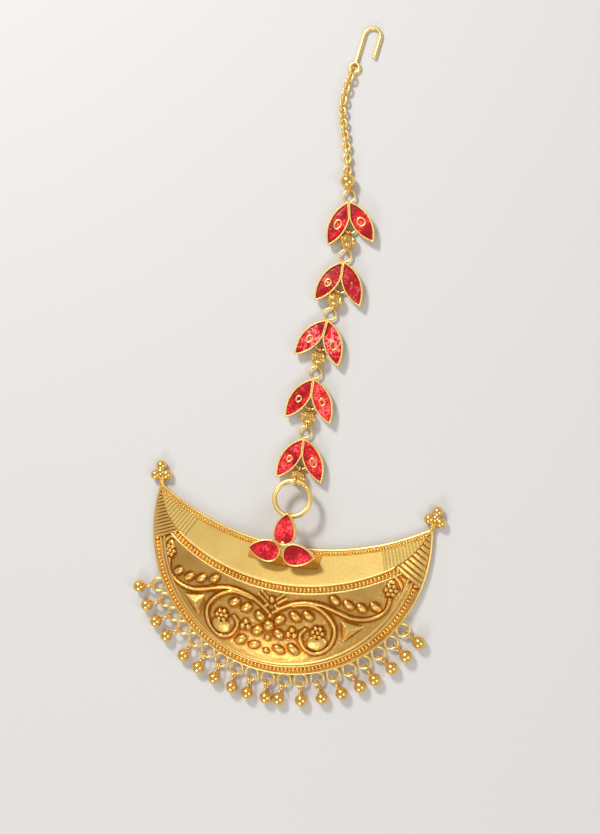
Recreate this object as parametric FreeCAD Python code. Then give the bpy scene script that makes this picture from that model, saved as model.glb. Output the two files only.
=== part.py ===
import FreeCAD, Part
import math
import os

# A maang tikka, a hair ornament, lying on its back. Millimetres, +Z up, +Y from the pendant to the hair hook.
# The working origin is the centre of the crescent's outer arc, at the height of the surface it lies on.
# At the end everything moves together, so that the origin is the middle of the bottom of the bounding box.

Vec = FreeCAD.Vector
UP = Vec(0, 0, 1)
ACROSS = Vec(1, 0, 0)
GAP = 0.04                # play between an enamel filling and its metal cell

# Crescent plate: a pressed dome whose upper part is bitten off by a sloping band.
OUTER_R = 35.8            # radius of the outer edge
HORN_RISE = 10.4          # the horn points lie this many degrees above the arc's centre
BAY_DEPTH = 10.3          # how far the inner edge dips below the horn points
EDGE_H = 1.2              # height of the straight wall under both edges
SHELL = 0.8               # thickness of the pressed sheet, open at the back
KNUCKLE_R = 17.0          # bend of the dome near its outer edge
EDGE_SLOPE = 45.0         # slope of the dome at its outer edge, degrees
CROWN_R = 150.0           # large radius of the dome's middle
BAND_SLOPE = 37.7         # slope of the plain inner band, degrees
RIM_WIRE_R = 0.45         # round wires soldered on both edges
BORDER_INSET = 2.8        # distance of the border wire from the outer edge
BORDER_WIRE_R = 0.35
BOSS_INSET = 12.8         # middle of the raised round boss, from the outer edge
BOSS_R = 1.9
BOSS_RISE = 0.8

# Three balls on each horn point.
TIP_BALL_R = 1.35
TIP_CORE_R = 1.2
TIP_SPREAD = 1.65         # distance of each ball from the middle of its group
TIP_BEYOND = 3.0          # distance of the group beyond the horn point
TIP_LEAN = 0.6            # and further out from the middle line
TIP_NECK_R = 0.7
TIP_NECK_ROOT = 1.5       # how far the neck is soldered into the horn
TIP_ANGLES = (83, 195, 325)

# Loops soldered along the lower edge, each with a ball drop on a ring.
DROP_COUNT = 19
DROP_ROOM = 1.07          # loops are spaced by a ball's diameter and this much room
LOOP_OUT = 1.55           # loop centres lie this far outside the edge
LOOP_R = 1.62
LOOP_WIRE_R = 0.33
LOOP_Z = 1.15
DROP_RING_R = 1.4
DROP_RING_WIRE_R = 0.25
DROP_PLAY = 0.13          # between a drop's ring and its loop
DROP_BALL_R = 1.6
DROP_SEAT = 0.3           # how deep the ring is soldered into the ball
# Each drop lies a little to one side, in degrees about its loop, from the left horn to the right horn.
DROP_SWING = (-16, -12, -13, -15, 6, 7, 8, 11, 4, 5, -13, -1, 5, 9, 11, 3, 7, 5, 4)

# Three-petal flower in front of the inner edge.
PETAL_R = 2.8             # round end of each petal
PETAL_TIP = 5.4           # from the centre of the round end to the point
PETAL_WALL = 0.4
PETAL_FLOOR = 0.5
PETAL_DEEP = 1.7
FLOWER_TOP = 8.8          # height of the front of the cells
FLOWER_UP = 3.6           # from the middle of the inner edge to the centre of the top petal's round end
PETALS_APART = 0.6        # between the two side petals
PETALS_SHARE = 0.05       # how far each side petal runs into the top one
POST_R = 1.1
FLOWER_ENAMEL_BELOW = 0.35

# Loops that carry the big ring, and the ring itself.
EYE_PLAY = 0.22
EYE_WIRE_R = 0.28
EYE_UNDER_TIP = 1.0       # the flower's loop lies this far inside the petal's point
EYE_SEAT = 0.18
RING_R = 4.5
RING_WIRE_R = 0.65
RING_CUT = 0.12           # the ring is bent round and its two ends butt here
RING_CUT_ANGLE = 52.0     # where they meet, degrees from +X
RING_PLAY = 0.1           # between the big ring and the bead under it

# Bead links.
BEAD_R = 1.85
BEAD_PAST_RING = 0.86     # from the big ring's far wire to the middle of the bead under it
LINK_EYE_R = 0.75
LINK_EYE_WIRE_R = 0.25
LINK_PLAY = 0.18          # between a bead and the ring wire in its eye

# Leaf pairs.
LEAF_LONG = 12.2
LEAF_HALF_WIDE = 2.4
LEAF_SPLAY = 28.5         # angle of each leaf to the pair's middle line, degrees
LEAF_WALL = 0.45
LEAF_DEEP = 1.55
LEAF_FLOOR = 0.4
LEAF_ENAMEL_BELOW = 0.3
PAIR_RING_R = 1.5
PAIR_RING_WIRE_R = 0.28
PAIR_RING_SEAT = 0.23     # how deep the rings' wire is soldered into the back of the cells
TOP_RING_AT = 1.55        # centre of the upper ring, above the pair's upper point
BEAD_ROOM = 0.84          # between a bead and the leaves on its two sides
# How the strand lies, from the big ring to the chain, in degrees anticlockwise of +Y.
LINK_TURNS = (-3.5, -1.5, -3.5, -12.5, -1.5, 13.0)
PAIR_TURNS = (1.5, 0.5, -7.0, 0.0, 11.5)

# Fine chain and hook. The route is from the last bead's eye to the hook's eye.
CHAIN_R = 1.2
CHAIN_GAP = 0.25
CHAIN_ROUTE = ((-1.8, 8.4), (-3.3, 13.4), (-4.4, 18.2), (-4.2, 23.0), (-3.4, 26.9))
HOOK_WIRE_R = 0.5
HOOK_EYE_R = 1.2
HOOK_SHANK = 7.5
HOOK_BEND_R = 2.1
HOOK_RETURN = 5.0
HOOK_TURN = -8.0          # lean of the hook, degrees anticlockwise of +Y

# Sizes that follow from these.
horn_x = OUTER_R * math.cos(math.radians(HORN_RISE))
horn_y = OUTER_R * math.sin(math.radians(HORN_RISE))
bay_radius = (horn_x ** 2 + BAY_DEPTH ** 2) / (2 * BAY_DEPTH)
bay_centre = Vec(0, horn_y - BAY_DEPTH + bay_radius, 0)
band_rise = math.tan(math.radians(BAND_SLOPE))
boss_y = BOSS_INSET - OUTER_R
loop_radius = OUTER_R + LOOP_OUT
drop_pitch = math.degrees((2 * DROP_BALL_R + DROP_ROOM) / loop_radius)
drop_ring_z = DROP_RING_R + DROP_RING_WIRE_R
drop_offset = DROP_RING_R - DROP_RING_WIRE_R - LOOP_WIRE_R - DROP_PLAY
drop_reach = math.sqrt(drop_offset ** 2 - (drop_ring_z - LOOP_Z) ** 2)
flower_y = horn_y - BAY_DEPTH + FLOWER_UP
flower_back = FLOWER_TOP - PETAL_DEEP
side_petal_x = PETAL_R + PETALS_APART / 2
side_petal_y = flower_y - math.sqrt((2 * PETAL_R - PETALS_SHARE) ** 2 - side_petal_x ** 2)
eye_radius = RING_WIRE_R + EYE_WIRE_R + EYE_PLAY
link_eye_z = LINK_EYE_R + LINK_EYE_WIRE_R
link_eye_out = math.sqrt((BEAD_R + PAIR_RING_WIRE_R + LINK_PLAY) ** 2 - (BEAD_R - link_eye_z) ** 2)
leaf_back = link_eye_z + PAIR_RING_WIRE_R - PAIR_RING_SEAT
leaf_top = leaf_back + LEAF_DEEP
leaf_arc = ((LEAF_LONG / 2) ** 2 + LEAF_HALF_WIDE ** 2) / (2 * LEAF_HALF_WIDE)


def polar(radius, degrees, z=0.0):
    angle = math.radians(degrees)
    return Vec(radius * math.cos(angle), radius * math.sin(angle), z)


def heading(degrees):
    """Unit vector turned this many degrees anticlockwise from +Y."""
    return polar(1.0, 90.0 + degrees)


def fused(shapes):
    return shapes[0].multiFuse(shapes[1:]).removeSplitter()


def arc(start, middle, end):
    return Part.Arc(start, middle, end).toShape()


def closed_face(edges):
    return Part.Face(Part.Wire(Part.__sortEdges__(edges)))


def turned(shape, centre, degrees):
    copy = shape.copy()
    copy.rotate(centre, UP, degrees)
    return copy


def ring_bar(centre, ring_radius, wire_radius, start, sweep):
    """Round wire bent to part of a level circle, from angle start over sweep degrees."""
    at = centre + polar(ring_radius, start)
    tangent = polar(1.0, start + 90.0)
    section = Part.Face(Part.Wire(Part.makeCircle(wire_radius, at, tangent)))
    return section.revolve(centre, UP, sweep)


def dome_centres():
    """Centres of the knuckle arc and of the crown arc, in the plane of radius and height."""
    slope = math.radians(EDGE_SLOPE)
    knuckle = (OUTER_R - KNUCKLE_R * math.sin(slope), EDGE_H - KNUCKLE_R * math.cos(slope))
    reach = CROWN_R - KNUCKLE_R
    crown_z = knuckle[1] - math.sqrt(reach ** 2 - knuckle[0] ** 2)
    return knuckle, crown_z


def dome_height(radius):
    knuckle, crown_z = dome_centres()
    join = knuckle[0] * CROWN_R / (CROWN_R - KNUCKLE_R)
    if radius < join:
        return crown_z + math.sqrt(CROWN_R ** 2 - radius ** 2)
    return knuckle[1] + math.sqrt(KNUCKLE_R ** 2 - (radius - knuckle[0]) ** 2)


def band_height(distance):
    """Height of the plain band at a distance from the centre of the bay's arc."""
    return EDGE_H + (distance - bay_radius) * band_rise


def dome(inset, bottom):
    """Solid under the dome's surface, made smaller on all sides by inset."""
    knuckle, crown_z = dome_centres()
    knuckle_r = KNUCKLE_R - inset
    crown_r = CROWN_R - inset
    edge_r = OUTER_R - inset
    join_slope = knuckle[0] / (CROWN_R - KNUCKLE_R)
    join = Vec(crown_r * join_slope, 0, crown_z + crown_r * math.sqrt(1 - join_slope ** 2))
    edge = Vec(edge_r, 0, knuckle[1] + math.sqrt(knuckle_r ** 2 - (edge_r - knuckle[0]) ** 2))
    start = math.asin((edge_r - knuckle[0]) / knuckle_r)
    half = (start + math.asin(join_slope)) / 2
    on_knuckle = Vec(knuckle[0] + knuckle_r * math.sin(half), 0, knuckle[1] + knuckle_r * math.cos(half))
    crown_half = math.asin(join_slope) / 2
    on_crown = Vec(crown_r * math.sin(crown_half), 0, crown_z + crown_r * math.cos(crown_half))
    top = Vec(0, 0, crown_z + crown_r)
    low_edge = Vec(edge_r, 0, bottom)
    low_axis = Vec(0, 0, bottom)
    edges = [Part.makeLine(low_axis, low_edge), Part.makeLine(low_edge, edge), arc(edge, on_knuckle, join),
             arc(join, on_crown, top), Part.makeLine(top, low_axis)]
    return closed_face(edges).revolve(Vec(0, 0, 0), UP, 360)


def bite(inset, bottom):
    """Round body with a sloping side that takes the bay and the plain band out of the dome."""
    radius = bay_radius + inset
    slope = math.radians(BAND_SLOPE)
    wall_top = EDGE_H - inset / math.cos(slope) + inset * band_rise
    rise = 12.0
    points = [Vec(0, 0, bottom), Vec(radius, 0, bottom), Vec(radius, 0, wall_top),
              Vec(radius + rise / band_rise, 0, wall_top + rise), Vec(0, 0, wall_top + rise)]
    face = Part.Face(Part.makePolygon(points + points[:1]))
    solid = face.revolve(Vec(0, 0, 0), UP, 360)
    solid.translate(bay_centre)
    return solid


def flower_post():
    """Plain post from the band to the back of the flower, between its side petals."""
    root = band_height(bay_centre.y - side_petal_y) - SHELL
    return Part.makeCylinder(POST_R, flower_back + PETAL_FLOOR / 2 - root, Vec(0, side_petal_y, root))


def crescent_shell():
    """Pressed sheet with its boss and the flower's post, all open at the back."""
    outside = dome(0, 0).cut(bite(0, -1))
    hollow = dome(SHELL, -1).cut(bite(SHELL, -2))
    return fused([outside, boss(), flower_post()]).cut(hollow)


def rim_wires():
    outer = ring_bar(Vec(0, 0, EDGE_H), OUTER_R - RIM_WIRE_R / 4, RIM_WIRE_R, -180 - HORN_RISE,
                     180 + 2 * HORN_RISE)
    half = math.degrees(math.asin(horn_x / bay_radius))
    inner = ring_bar(bay_centre + Vec(0, 0, EDGE_H), bay_radius + RIM_WIRE_R / 4, RIM_WIRE_R, -90 - half, 2 * half)
    return [outer, inner]


def border_wire():
    """Wire on the dome beside its edge, as far as the ridge where dome and band meet."""
    radius = OUTER_R - BORDER_INSET
    height = dome_height(radius)
    distance = bay_radius + (height - EDGE_H) / band_rise
    sine = (radius ** 2 + bay_centre.y ** 2 - distance ** 2) / (2 * bay_centre.y * radius)
    end = math.degrees(math.asin(sine))
    return ring_bar(Vec(0, 0, height), radius, BORDER_WIRE_R, -180 - end, 180 + 2 * end)


def boss():
    top = dome_height(abs(boss_y)) + BOSS_RISE
    return Part.makeSphere(BOSS_R, Vec(0, boss_y, top - BOSS_R))


def horn_tips():
    balls = []
    for side in (-1, 1):
        middle = Vec(side * (horn_x + TIP_LEAN), horn_y + TIP_BEYOND, TIP_BALL_R)
        root = Vec(side * (horn_x - TIP_LEAN / 2), horn_y - TIP_NECK_ROOT, TIP_NECK_R)
        balls.append(Part.makeSphere(TIP_CORE_R, middle))
        balls.append(Part.makeCylinder(TIP_NECK_R, (middle - root).Length, root, middle - root))
        for angle in TIP_ANGLES:
            at = polar(TIP_SPREAD, angle)
            balls.append(Part.makeSphere(TIP_BALL_R, middle + Vec(side * at.x, at.y, 0)))
    return balls


def loop_centres():
    """Place of each loop and its angle from the lowest point, from left to right."""
    angles = [(i - (DROP_COUNT - 1) / 2) * drop_pitch for i in range(DROP_COUNT)]
    return [(polar(loop_radius, angle - 90), angle) for angle in angles]


def edge_loops():
    return [Part.makeTorus(LOOP_R, LOOP_WIRE_R, centre + Vec(0, 0, LOOP_Z)) for centre, _ in loop_centres()]


def drop(loop_centre, angle, swing):
    """Ball soldered to a ring that stands in its loop, laid out to one side by swing degrees."""
    way = heading(180 + angle + swing)
    side = way.cross(UP)
    ring_at = loop_centre + way * (LOOP_R + drop_reach) + Vec(0, 0, drop_ring_z)
    ring = Part.makeTorus(DROP_RING_R, DROP_RING_WIRE_R, ring_at, side)
    ball_at = ring_at + way * (drop_ring_z + DROP_BALL_R - DROP_SEAT)
    ball = Part.makeSphere(DROP_BALL_R, Vec(ball_at.x, ball_at.y, DROP_BALL_R))
    return fused([ball, ring])


def petal_face(inset, height):
    """Teardrop with its round end about the origin and its point towards +Y."""
    side_r = (PETAL_R ** 2 + PETAL_TIP ** 2) / (2 * PETAL_R)
    centre_x = side_r - PETAL_R
    r = side_r - inset
    tip = Vec(0, math.sqrt(r ** 2 - centre_x ** 2), height)
    wide = PETAL_R - inset
    half = math.asin(tip.y / r) / 2
    shoulder = Vec(r * math.cos(half) - centre_x, r * math.sin(half), height)
    left = Vec(-shoulder.x, shoulder.y, height)
    edges = [arc(Vec(-wide, 0, height), Vec(0, -wide, height), Vec(wide, 0, height)),
             arc(Vec(wide, 0, height), shoulder, tip), arc(tip, left, Vec(-wide, 0, height))]
    return closed_face(edges)


def petal_places():
    """Name, centre of the round end and direction of each petal."""
    return (("top", Vec(0, flower_y, 0), 0), ("left", Vec(-side_petal_x, side_petal_y, 0), 90),
            ("right", Vec(side_petal_x, side_petal_y, 0), -90))


def placed(shape, place, degrees):
    copy = turned(shape, Vec(0, 0, 0), degrees)
    copy.translate(place)
    return copy


def flower_setting():
    cell = petal_face(0, flower_back).extrude(UP * PETAL_DEEP)
    pocket = petal_face(PETAL_WALL, flower_back + PETAL_FLOOR).extrude(UP * PETAL_DEEP)
    pieces = [placed(cell.cut(pocket), place, turn) for _, place, turn in petal_places()]
    return pieces + [Part.makeCylinder(PETAL_R / 2, PETAL_FLOOR, Vec(0, side_petal_y + PETAL_R / 2, flower_back))]


def flower_enamel():
    bottom = flower_back + PETAL_FLOOR
    depth = FLOWER_TOP - FLOWER_ENAMEL_BELOW - bottom
    filling = petal_face(PETAL_WALL + GAP, bottom).extrude(UP * depth)
    return {"flower_enamel_" + name: placed(filling, place, turn) for name, place, turn in petal_places()}


def flower_eye_place():
    return Vec(0, flower_y + PETAL_TIP - EYE_UNDER_TIP, flower_back + EYE_SEAT - eye_radius - EYE_WIRE_R)


def big_ring_ends():
    """Middles of the ring's wire at the flower and at the first bead, on the line x = 0."""
    near = flower_eye_place()
    touch = BEAD_R + RING_WIRE_R + RING_PLAY
    far_z = BEAD_R + math.sqrt(touch ** 2 - BEAD_PAST_RING ** 2)
    across = math.sqrt((2 * RING_R) ** 2 - (near.z - far_z) ** 2)
    return near, Vec(0, near.y + across, far_z)


def big_ring():
    near, far = big_ring_ends()
    centre = (near + far) * 0.5
    along = (far - near).normalize()
    normal = ACROSS.cross(along)
    ring = Part.makeTorus(RING_R, RING_WIRE_R, centre, normal)
    angle = math.radians(RING_CUT_ANGLE)
    out = ACROSS * math.cos(angle) + along * math.sin(angle)
    cutter = Part.makeBox(4 * RING_WIRE_R, RING_CUT, 4 * RING_WIRE_R)
    cutter.translate(Vec(-2 * RING_WIRE_R, -RING_CUT / 2, -2 * RING_WIRE_R))
    turn = FreeCAD.Rotation(out, normal.cross(out), normal, "ZXY")
    cutter.Placement = FreeCAD.Placement(centre + out * RING_R, turn).multiply(cutter.Placement)
    return ring.cut(cutter)


def crescent():
    eye = Part.makeTorus(eye_radius, EYE_WIRE_R, flower_eye_place(), ACROSS)
    parts = [crescent_shell()] + rim_wires() + [border_wire()] + horn_tips() + edge_loops()
    return fused(parts + flower_setting() + [eye])


def bead_link(centre, turn, eyes):
    """Bead with a wire eye on each side that eyes lists, 1 ahead along the strand and -1 behind."""
    ahead = heading(turn)
    parts = [Part.makeSphere(BEAD_R, centre)]
    for side in eyes:
        at = centre + ahead * (side * link_eye_out)
        parts.append(Part.makeTorus(LINK_EYE_R, LINK_EYE_WIRE_R,
                                    Vec(at.x, at.y, link_eye_z), ahead.cross(UP)))
    return parts


def back_ring_at():
    """Place of the lower ring along the pair, so that the bead it holds lies clear between the leaves."""
    splay = math.radians(LEAF_SPLAY)
    arc_x, arc_y = leaf_arc - LEAF_HALF_WIDE, LEAF_LONG / 2
    across = arc_x * math.cos(splay) + arc_y * math.sin(splay)
    down = arc_y * math.cos(splay) - arc_x * math.sin(splay)
    bead_down = down + math.sqrt((leaf_arc + BEAD_R + BEAD_ROOM) ** 2 - across ** 2)
    return PAIR_RING_R + link_eye_out - bead_down


def leaf_face(inset, height):
    """Pointed oval with its upper point at the origin and its length towards -Y."""
    half = LEAF_LONG / 2
    tip = math.sqrt((leaf_arc - inset) ** 2 - (leaf_arc - LEAF_HALF_WIDE) ** 2)
    wide = LEAF_HALF_WIDE - inset
    upper = Vec(0, tip - half, height)
    lower = Vec(0, -tip - half, height)
    edges = [arc(upper, Vec(wide, -half, height), lower), arc(lower, Vec(-wide, -half, height), upper)]
    return closed_face(edges)


def leaf_filling(inset, bottom, depth, side):
    """Inside of one leaf cell, on the left (-1) or right (1) of the wall that the two leaves share."""
    leaf = turned(leaf_face(inset, bottom).extrude(UP * depth), Vec(0, 0, 0), side * LEAF_SPLAY)
    shared = LEAF_WALL / 2 + (inset - LEAF_WALL)
    keep = Part.makeBox(LEAF_LONG, 2 * LEAF_LONG, depth, Vec(shared, -1.5 * LEAF_LONG, bottom))
    if side < 0:
        keep = keep.mirror(Vec(0, 0, 0), ACROSS)
    return leaf.common(keep)


def leaf_frame():
    outline = leaf_face(0, leaf_back).extrude(UP * LEAF_DEEP)
    leaves = fused([turned(outline, Vec(0, 0, 0), side * LEAF_SPLAY) for side in (-1, 1)])
    for side in (-1, 1):
        leaves = leaves.cut(leaf_filling(LEAF_WALL, leaf_back + LEAF_FLOOR, LEAF_DEEP, side))
    rings = [Part.makeTorus(PAIR_RING_R, PAIR_RING_WIRE_R, Vec(0, y, link_eye_z))
             for y in (TOP_RING_AT, back_ring_at())]
    return fused([leaves] + rings)


def leaf_enamel(side):
    bottom = leaf_back + LEAF_FLOOR
    return leaf_filling(LEAF_WALL + GAP, bottom, leaf_top - LEAF_ENAMEL_BELOW - bottom, side)


def strand():
    """The leaf pairs and bead links between the big ring and the chain, and where the chain starts."""
    nodes = {}
    _, far = big_ring_ends()
    bead = Vec(0, far.y + BEAD_PAST_RING, BEAD_R)
    pairs = len(PAIR_TURNS)
    ring_eye = Part.makeTorus(eye_radius, EYE_WIRE_R, far, ACROSS)
    nodes[f"bead_link_{pairs}"] = fused(bead_link(bead, LINK_TURNS[0], (1,)) + [ring_eye])
    frame, left, right = leaf_frame(), leaf_enamel(-1), leaf_enamel(1)
    hold = link_eye_out + PAIR_RING_R
    for i, turn in enumerate(PAIR_TURNS):
        number = pairs - i
        back_ring = bead + heading(LINK_TURNS[i]) * hold
        point = back_ring - heading(turn) * back_ring_at()
        place = Vec(point.x, point.y, 0)
        nodes[f"leaf_frame_{number}"] = placed(frame, place, turn)
        nodes[f"leaf_enamel_{number}_left"] = placed(left, place, turn)
        nodes[f"leaf_enamel_{number}_right"] = placed(right, place, turn)
        top_ring = point + heading(turn) * TOP_RING_AT
        bead = top_ring + heading(LINK_TURNS[i + 1]) * hold
        bead.z = BEAD_R
        nodes[f"bead_link_{number - 1}"] = fused(bead_link(bead, LINK_TURNS[i + 1], (-1, 1)))
    return nodes, bead


def smooth_path(points):
    """Straight runs joined by tangent arcs, each as large as its two runs allow."""
    edges = []
    at = points[0]
    for before, corner, after in zip(points, points[1:], points[2:]):
        back, ahead = before - corner, after - corner
        half_turn = (math.pi - back.getAngle(ahead)) / 2
        cut = 0.45 * min(back.Length, ahead.Length)
        radius = cut / math.tan(half_turn)
        print(f"chain bend radius {radius:.1f}")
        start = corner + back.normalize() * cut
        end = corner + ahead.normalize() * cut
        to_centre = (start + end - corner * 2).normalize()
        middle = corner + to_centre * (radius / math.cos(half_turn) - radius)
        edges += [Part.makeLine(at, start), arc(start, middle, end)]
        at = end
    return Part.Wire(edges + [Part.makeLine(at, points[-1])])


def chain(bead):
    """Tube around the fine link chain, lying on the surface, and its far end and direction."""
    start = bead + heading(LINK_TURNS[-1]) * (link_eye_out + LINK_EYE_R + LINK_EYE_WIRE_R + CHAIN_GAP)
    points = [Vec(start.x, start.y, CHAIN_R)]
    points += [Vec(bead.x + x, bead.y + y, CHAIN_R) for x, y in CHAIN_ROUTE]
    path = smooth_path(points)
    profile = Part.Wire(Part.makeCircle(CHAIN_R, points[0], points[1] - points[0]))
    tube = path.makePipeShell([profile], True, False)
    spare = abs(tube.Volume / (math.pi * CHAIN_R ** 2 * path.Length) - 1)
    print(f"chain length {path.Length:.1f}, volume off by {spare:.5f}")
    return tube, points[-1], (points[-1] - points[-2]).normalize()


def hair_hook(chain_end, chain_way):
    """Plain wire hook, lying flat: an eye, a shank and a bend that comes back beside it."""
    eye_at = chain_end + chain_way * (CHAIN_GAP + HOOK_EYE_R + HOOK_WIRE_R)
    eye_at.z = HOOK_WIRE_R
    ahead = heading(HOOK_TURN)
    side = heading(HOOK_TURN - 90)
    shank_at = eye_at + ahead * HOOK_EYE_R
    shank_end = shank_at + ahead * HOOK_SHANK
    bend_at = shank_end + side * HOOK_BEND_R
    return_at = shank_end + side * (2 * HOOK_BEND_R)
    return_end = return_at - ahead * HOOK_RETURN
    return fused([Part.makeTorus(HOOK_EYE_R, HOOK_WIRE_R, eye_at),
                  Part.makeCylinder(HOOK_WIRE_R, HOOK_SHANK, shank_at, ahead),
                  ring_bar(bend_at, HOOK_BEND_R, HOOK_WIRE_R, HOOK_TURN, 180),
                  Part.makeCylinder(HOOK_WIRE_R, HOOK_RETURN, return_end, ahead),
                  Part.makeSphere(HOOK_WIRE_R, return_end)])


def build():
    nodes = {"crescent": crescent(), "big_ring": big_ring()}
    nodes.update(flower_enamel())
    for number, ((centre, angle), swing) in enumerate(zip(loop_centres(), DROP_SWING), start=1):
        nodes[f"drop_{number:02d}"] = drop(centre, angle, swing)
    links, bead = strand()
    nodes.update(links)
    nodes["chain"], chain_end, chain_way = chain(bead)
    nodes["hair_hook"] = hair_hook(chain_end, chain_way)
    return nodes


def write(nodes):
    os.makedirs("parts", exist_ok=True)
    box = FreeCAD.BoundBox()
    for shape in nodes.values():
        box.add(shape.optimalBoundingBox(False))
    shift = Vec(-box.Center.x, -box.Center.y, -box.ZMin)
    print("moved by", shift, "size", box.XLength, box.YLength, box.ZLength)
    for name, shape in nodes.items():
        shape.translate(shift)
        shape.exportStep(f"parts/{name}.step")


write(build())
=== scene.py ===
import bmesh
import bpy
import math
import numpy as np
from bpy.props import FloatProperty, FloatVectorProperty, PointerProperty
from mathutils import Euler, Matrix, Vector
from types import SimpleNamespace


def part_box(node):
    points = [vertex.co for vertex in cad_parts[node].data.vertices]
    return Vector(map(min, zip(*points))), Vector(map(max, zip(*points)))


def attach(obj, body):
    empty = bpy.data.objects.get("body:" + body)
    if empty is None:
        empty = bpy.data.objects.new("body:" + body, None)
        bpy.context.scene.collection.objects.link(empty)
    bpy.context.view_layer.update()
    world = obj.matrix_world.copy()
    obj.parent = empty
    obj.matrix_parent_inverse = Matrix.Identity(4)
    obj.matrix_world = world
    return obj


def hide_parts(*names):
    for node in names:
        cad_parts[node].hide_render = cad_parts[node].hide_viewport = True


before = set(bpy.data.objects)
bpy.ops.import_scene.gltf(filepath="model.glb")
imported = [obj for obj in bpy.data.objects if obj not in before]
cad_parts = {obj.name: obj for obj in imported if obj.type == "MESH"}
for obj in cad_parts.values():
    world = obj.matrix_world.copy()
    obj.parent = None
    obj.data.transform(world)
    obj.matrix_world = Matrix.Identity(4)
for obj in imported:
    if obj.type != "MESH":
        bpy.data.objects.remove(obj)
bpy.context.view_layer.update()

bl_info = {
    "name": "Maang tikka looks",
    "version": (1, 0, 0),
    "blender": (4, 5, 0),
    "location": "View3D > Sidebar > Tikka",
    "description": "Pressed crescent, wires, granules, enamel leaves and chain of a maang tikka",
    "category": "Object",
}

MM = 0.001


# ---------------------------------------------------------------- sizes and colours

def length(name, description, millimetres):
    return FloatProperty(name=name, description=description, default=millimetres * MM, unit="LENGTH",
                         precision=5)


def colour(name, description, red, green, blue):
    return FloatVectorProperty(name=name, description=description, default=(red, green, blue), size=3,
                               min=0.0, max=1.0, subtype="COLOR")


class TikkaPlateSizes(bpy.types.PropertyGroup):
    outer_radius: length("Outer radius", "Radius of the crescent's outer edge", 35.8)
    bay_depth: length("Bay depth", "How far the inner edge dips below the horn points", 10.3)
    horn_rise: FloatProperty(name="Horn rise", description="Angle of the horn points above the arc's centre",
                             default=math.radians(10.4), subtype="ANGLE")
    edge_height: length("Edge height", "Straight wall under both edges", 1.2)
    sheet: length("Sheet", "Thickness of the pressed sheet", 0.8)
    knuckle_radius: length("Knuckle radius", "Bend of the dome near its outer edge", 17.0)
    edge_slope: FloatProperty(name="Edge slope", description="Slope of the dome at its outer edge",
                              default=math.radians(45.0), subtype="ANGLE")
    crown_radius: length("Crown radius", "Large radius of the dome's middle", 150.0)
    band_slope: FloatProperty(name="Band slope", description="Slope of the plain inner band",
                              default=math.radians(37.7), subtype="ANGLE")
    relief: FloatProperty(name="Relief", description="Height of the chased pattern over its drawn height",
                          default=1.3, min=0.0, max=1.5, subtype="FACTOR")


class TikkaWireSizes(bpy.types.PropertyGroup):
    rim_wire: length("Rim wire", "Radius of the wire on the outer edge", 0.44)
    fine_wire: length("Fine wire", "Radius of the fine border wires", 0.25)
    granule: length("Granule", "Radius of the granules in the borders", 0.45)
    granule_spacing: length("Granule spacing", "Distance between granules", 0.98)
    loop_radius: length("Loop radius", "Radius of the edge loops at the middle of their wire", 1.62)
    loop_wire: length("Loop wire", "Radius of the edge loops' wire", 0.33)
    loop_out: length("Loop place", "Distance of the loops' centres outside the edge", 1.55)
    loop_height: length("Loop height", "Height of the edge loops", 1.15)
    drop_ring: length("Drop ring", "Radius of a drop's ring at the middle of its wire", 1.4)
    drop_wire: length("Drop wire", "Radius of a drop ring's wire", 0.25)
    drop_ball: length("Drop ball", "Radius of a drop's ball", 1.6)
    drop_room: length("Drop room", "Spacing of the drops beyond a ball's diameter", 1.07)
    drop_play: length("Drop play", "Play between a drop's ring and its loop", 0.13)
    drop_seat: length("Drop seat", "How deep a drop's ring is soldered into its ball", 0.3)
    link_length: length("Link length", "Outer length of a chain link", 2.9)
    link_wire: length("Link wire", "Radius of a chain link's wire", 0.32)


class TikkaCellSizes(bpy.types.PropertyGroup):
    leaf_length: length("Leaf length", "Length of each enamelled leaf", 12.2)
    leaf_half_width: length("Leaf half width", "Half of a leaf's width", 2.4)
    leaf_splay: FloatProperty(name="Leaf splay", description="Angle of a leaf to its pair's middle line",
                              default=math.radians(28.5), subtype="ANGLE")
    leaf_wall: length("Leaf wall", "Thickness of the wire around a leaf", 0.45)
    petal_radius: length("Petal radius", "Radius of a petal's round end", 2.8)
    petal_point: length("Petal point", "From the centre of the round end to the point", 5.4)
    petal_wall: length("Petal wall", "Thickness of the wire around a petal", 0.4)
    wall_play: length("Play", "Gap between enamel and wall", 0.04)
    enamel_rise: length("Enamel rise", "How far the enamel swells above its edge", 0.22)


class TikkaFinish(bpy.types.PropertyGroup):
    # Painted highlight: the wires get a paler, brighter gold than the rest, standing in for the shine of light on
    # them.
    wire_gold_with_painted_highlight: colour("Wire gold", "Pale bright gold of rims, wires and loops", 1.0, 0.735, 0.27)
    gold_row: colour("Row gold", "Warm gold of the granule rows and the twisted wire", 0.95, 0.56, 0.13)
    gold_bright: colour("Gold", "Bright polished gold", 0.93, 0.60, 0.17)
    # Painted shade: the chased field's hollows are mixed towards this colour; on all the gold it also gives the
    # soft stains.
    gold_shade_and_stain: colour("Deep gold", "Gold in the hollows of the pattern", 0.36, 0.105, 0.008)
    gold_satin: colour("Satin gold", "Plain satin band", 0.69, 0.505, 0.165)
    enamel_bright: colour("Red enamel", "Enamel where the foil shows through", 0.82, 0.008, 0.02)
    enamel_deep: colour("Deep enamel", "Enamel at its thickest", 0.30, 0.001, 0.004)
    # Painted glint: pale colour laid on the foil's creases, standing in for light catching them.
    enamel_painted_glint: colour("Glint", "Creases of the foil", 1.0, 0.42, 0.40)
    floor: colour("Floor", "Plain pale floor", 0.66, 0.65, 0.64)


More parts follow.
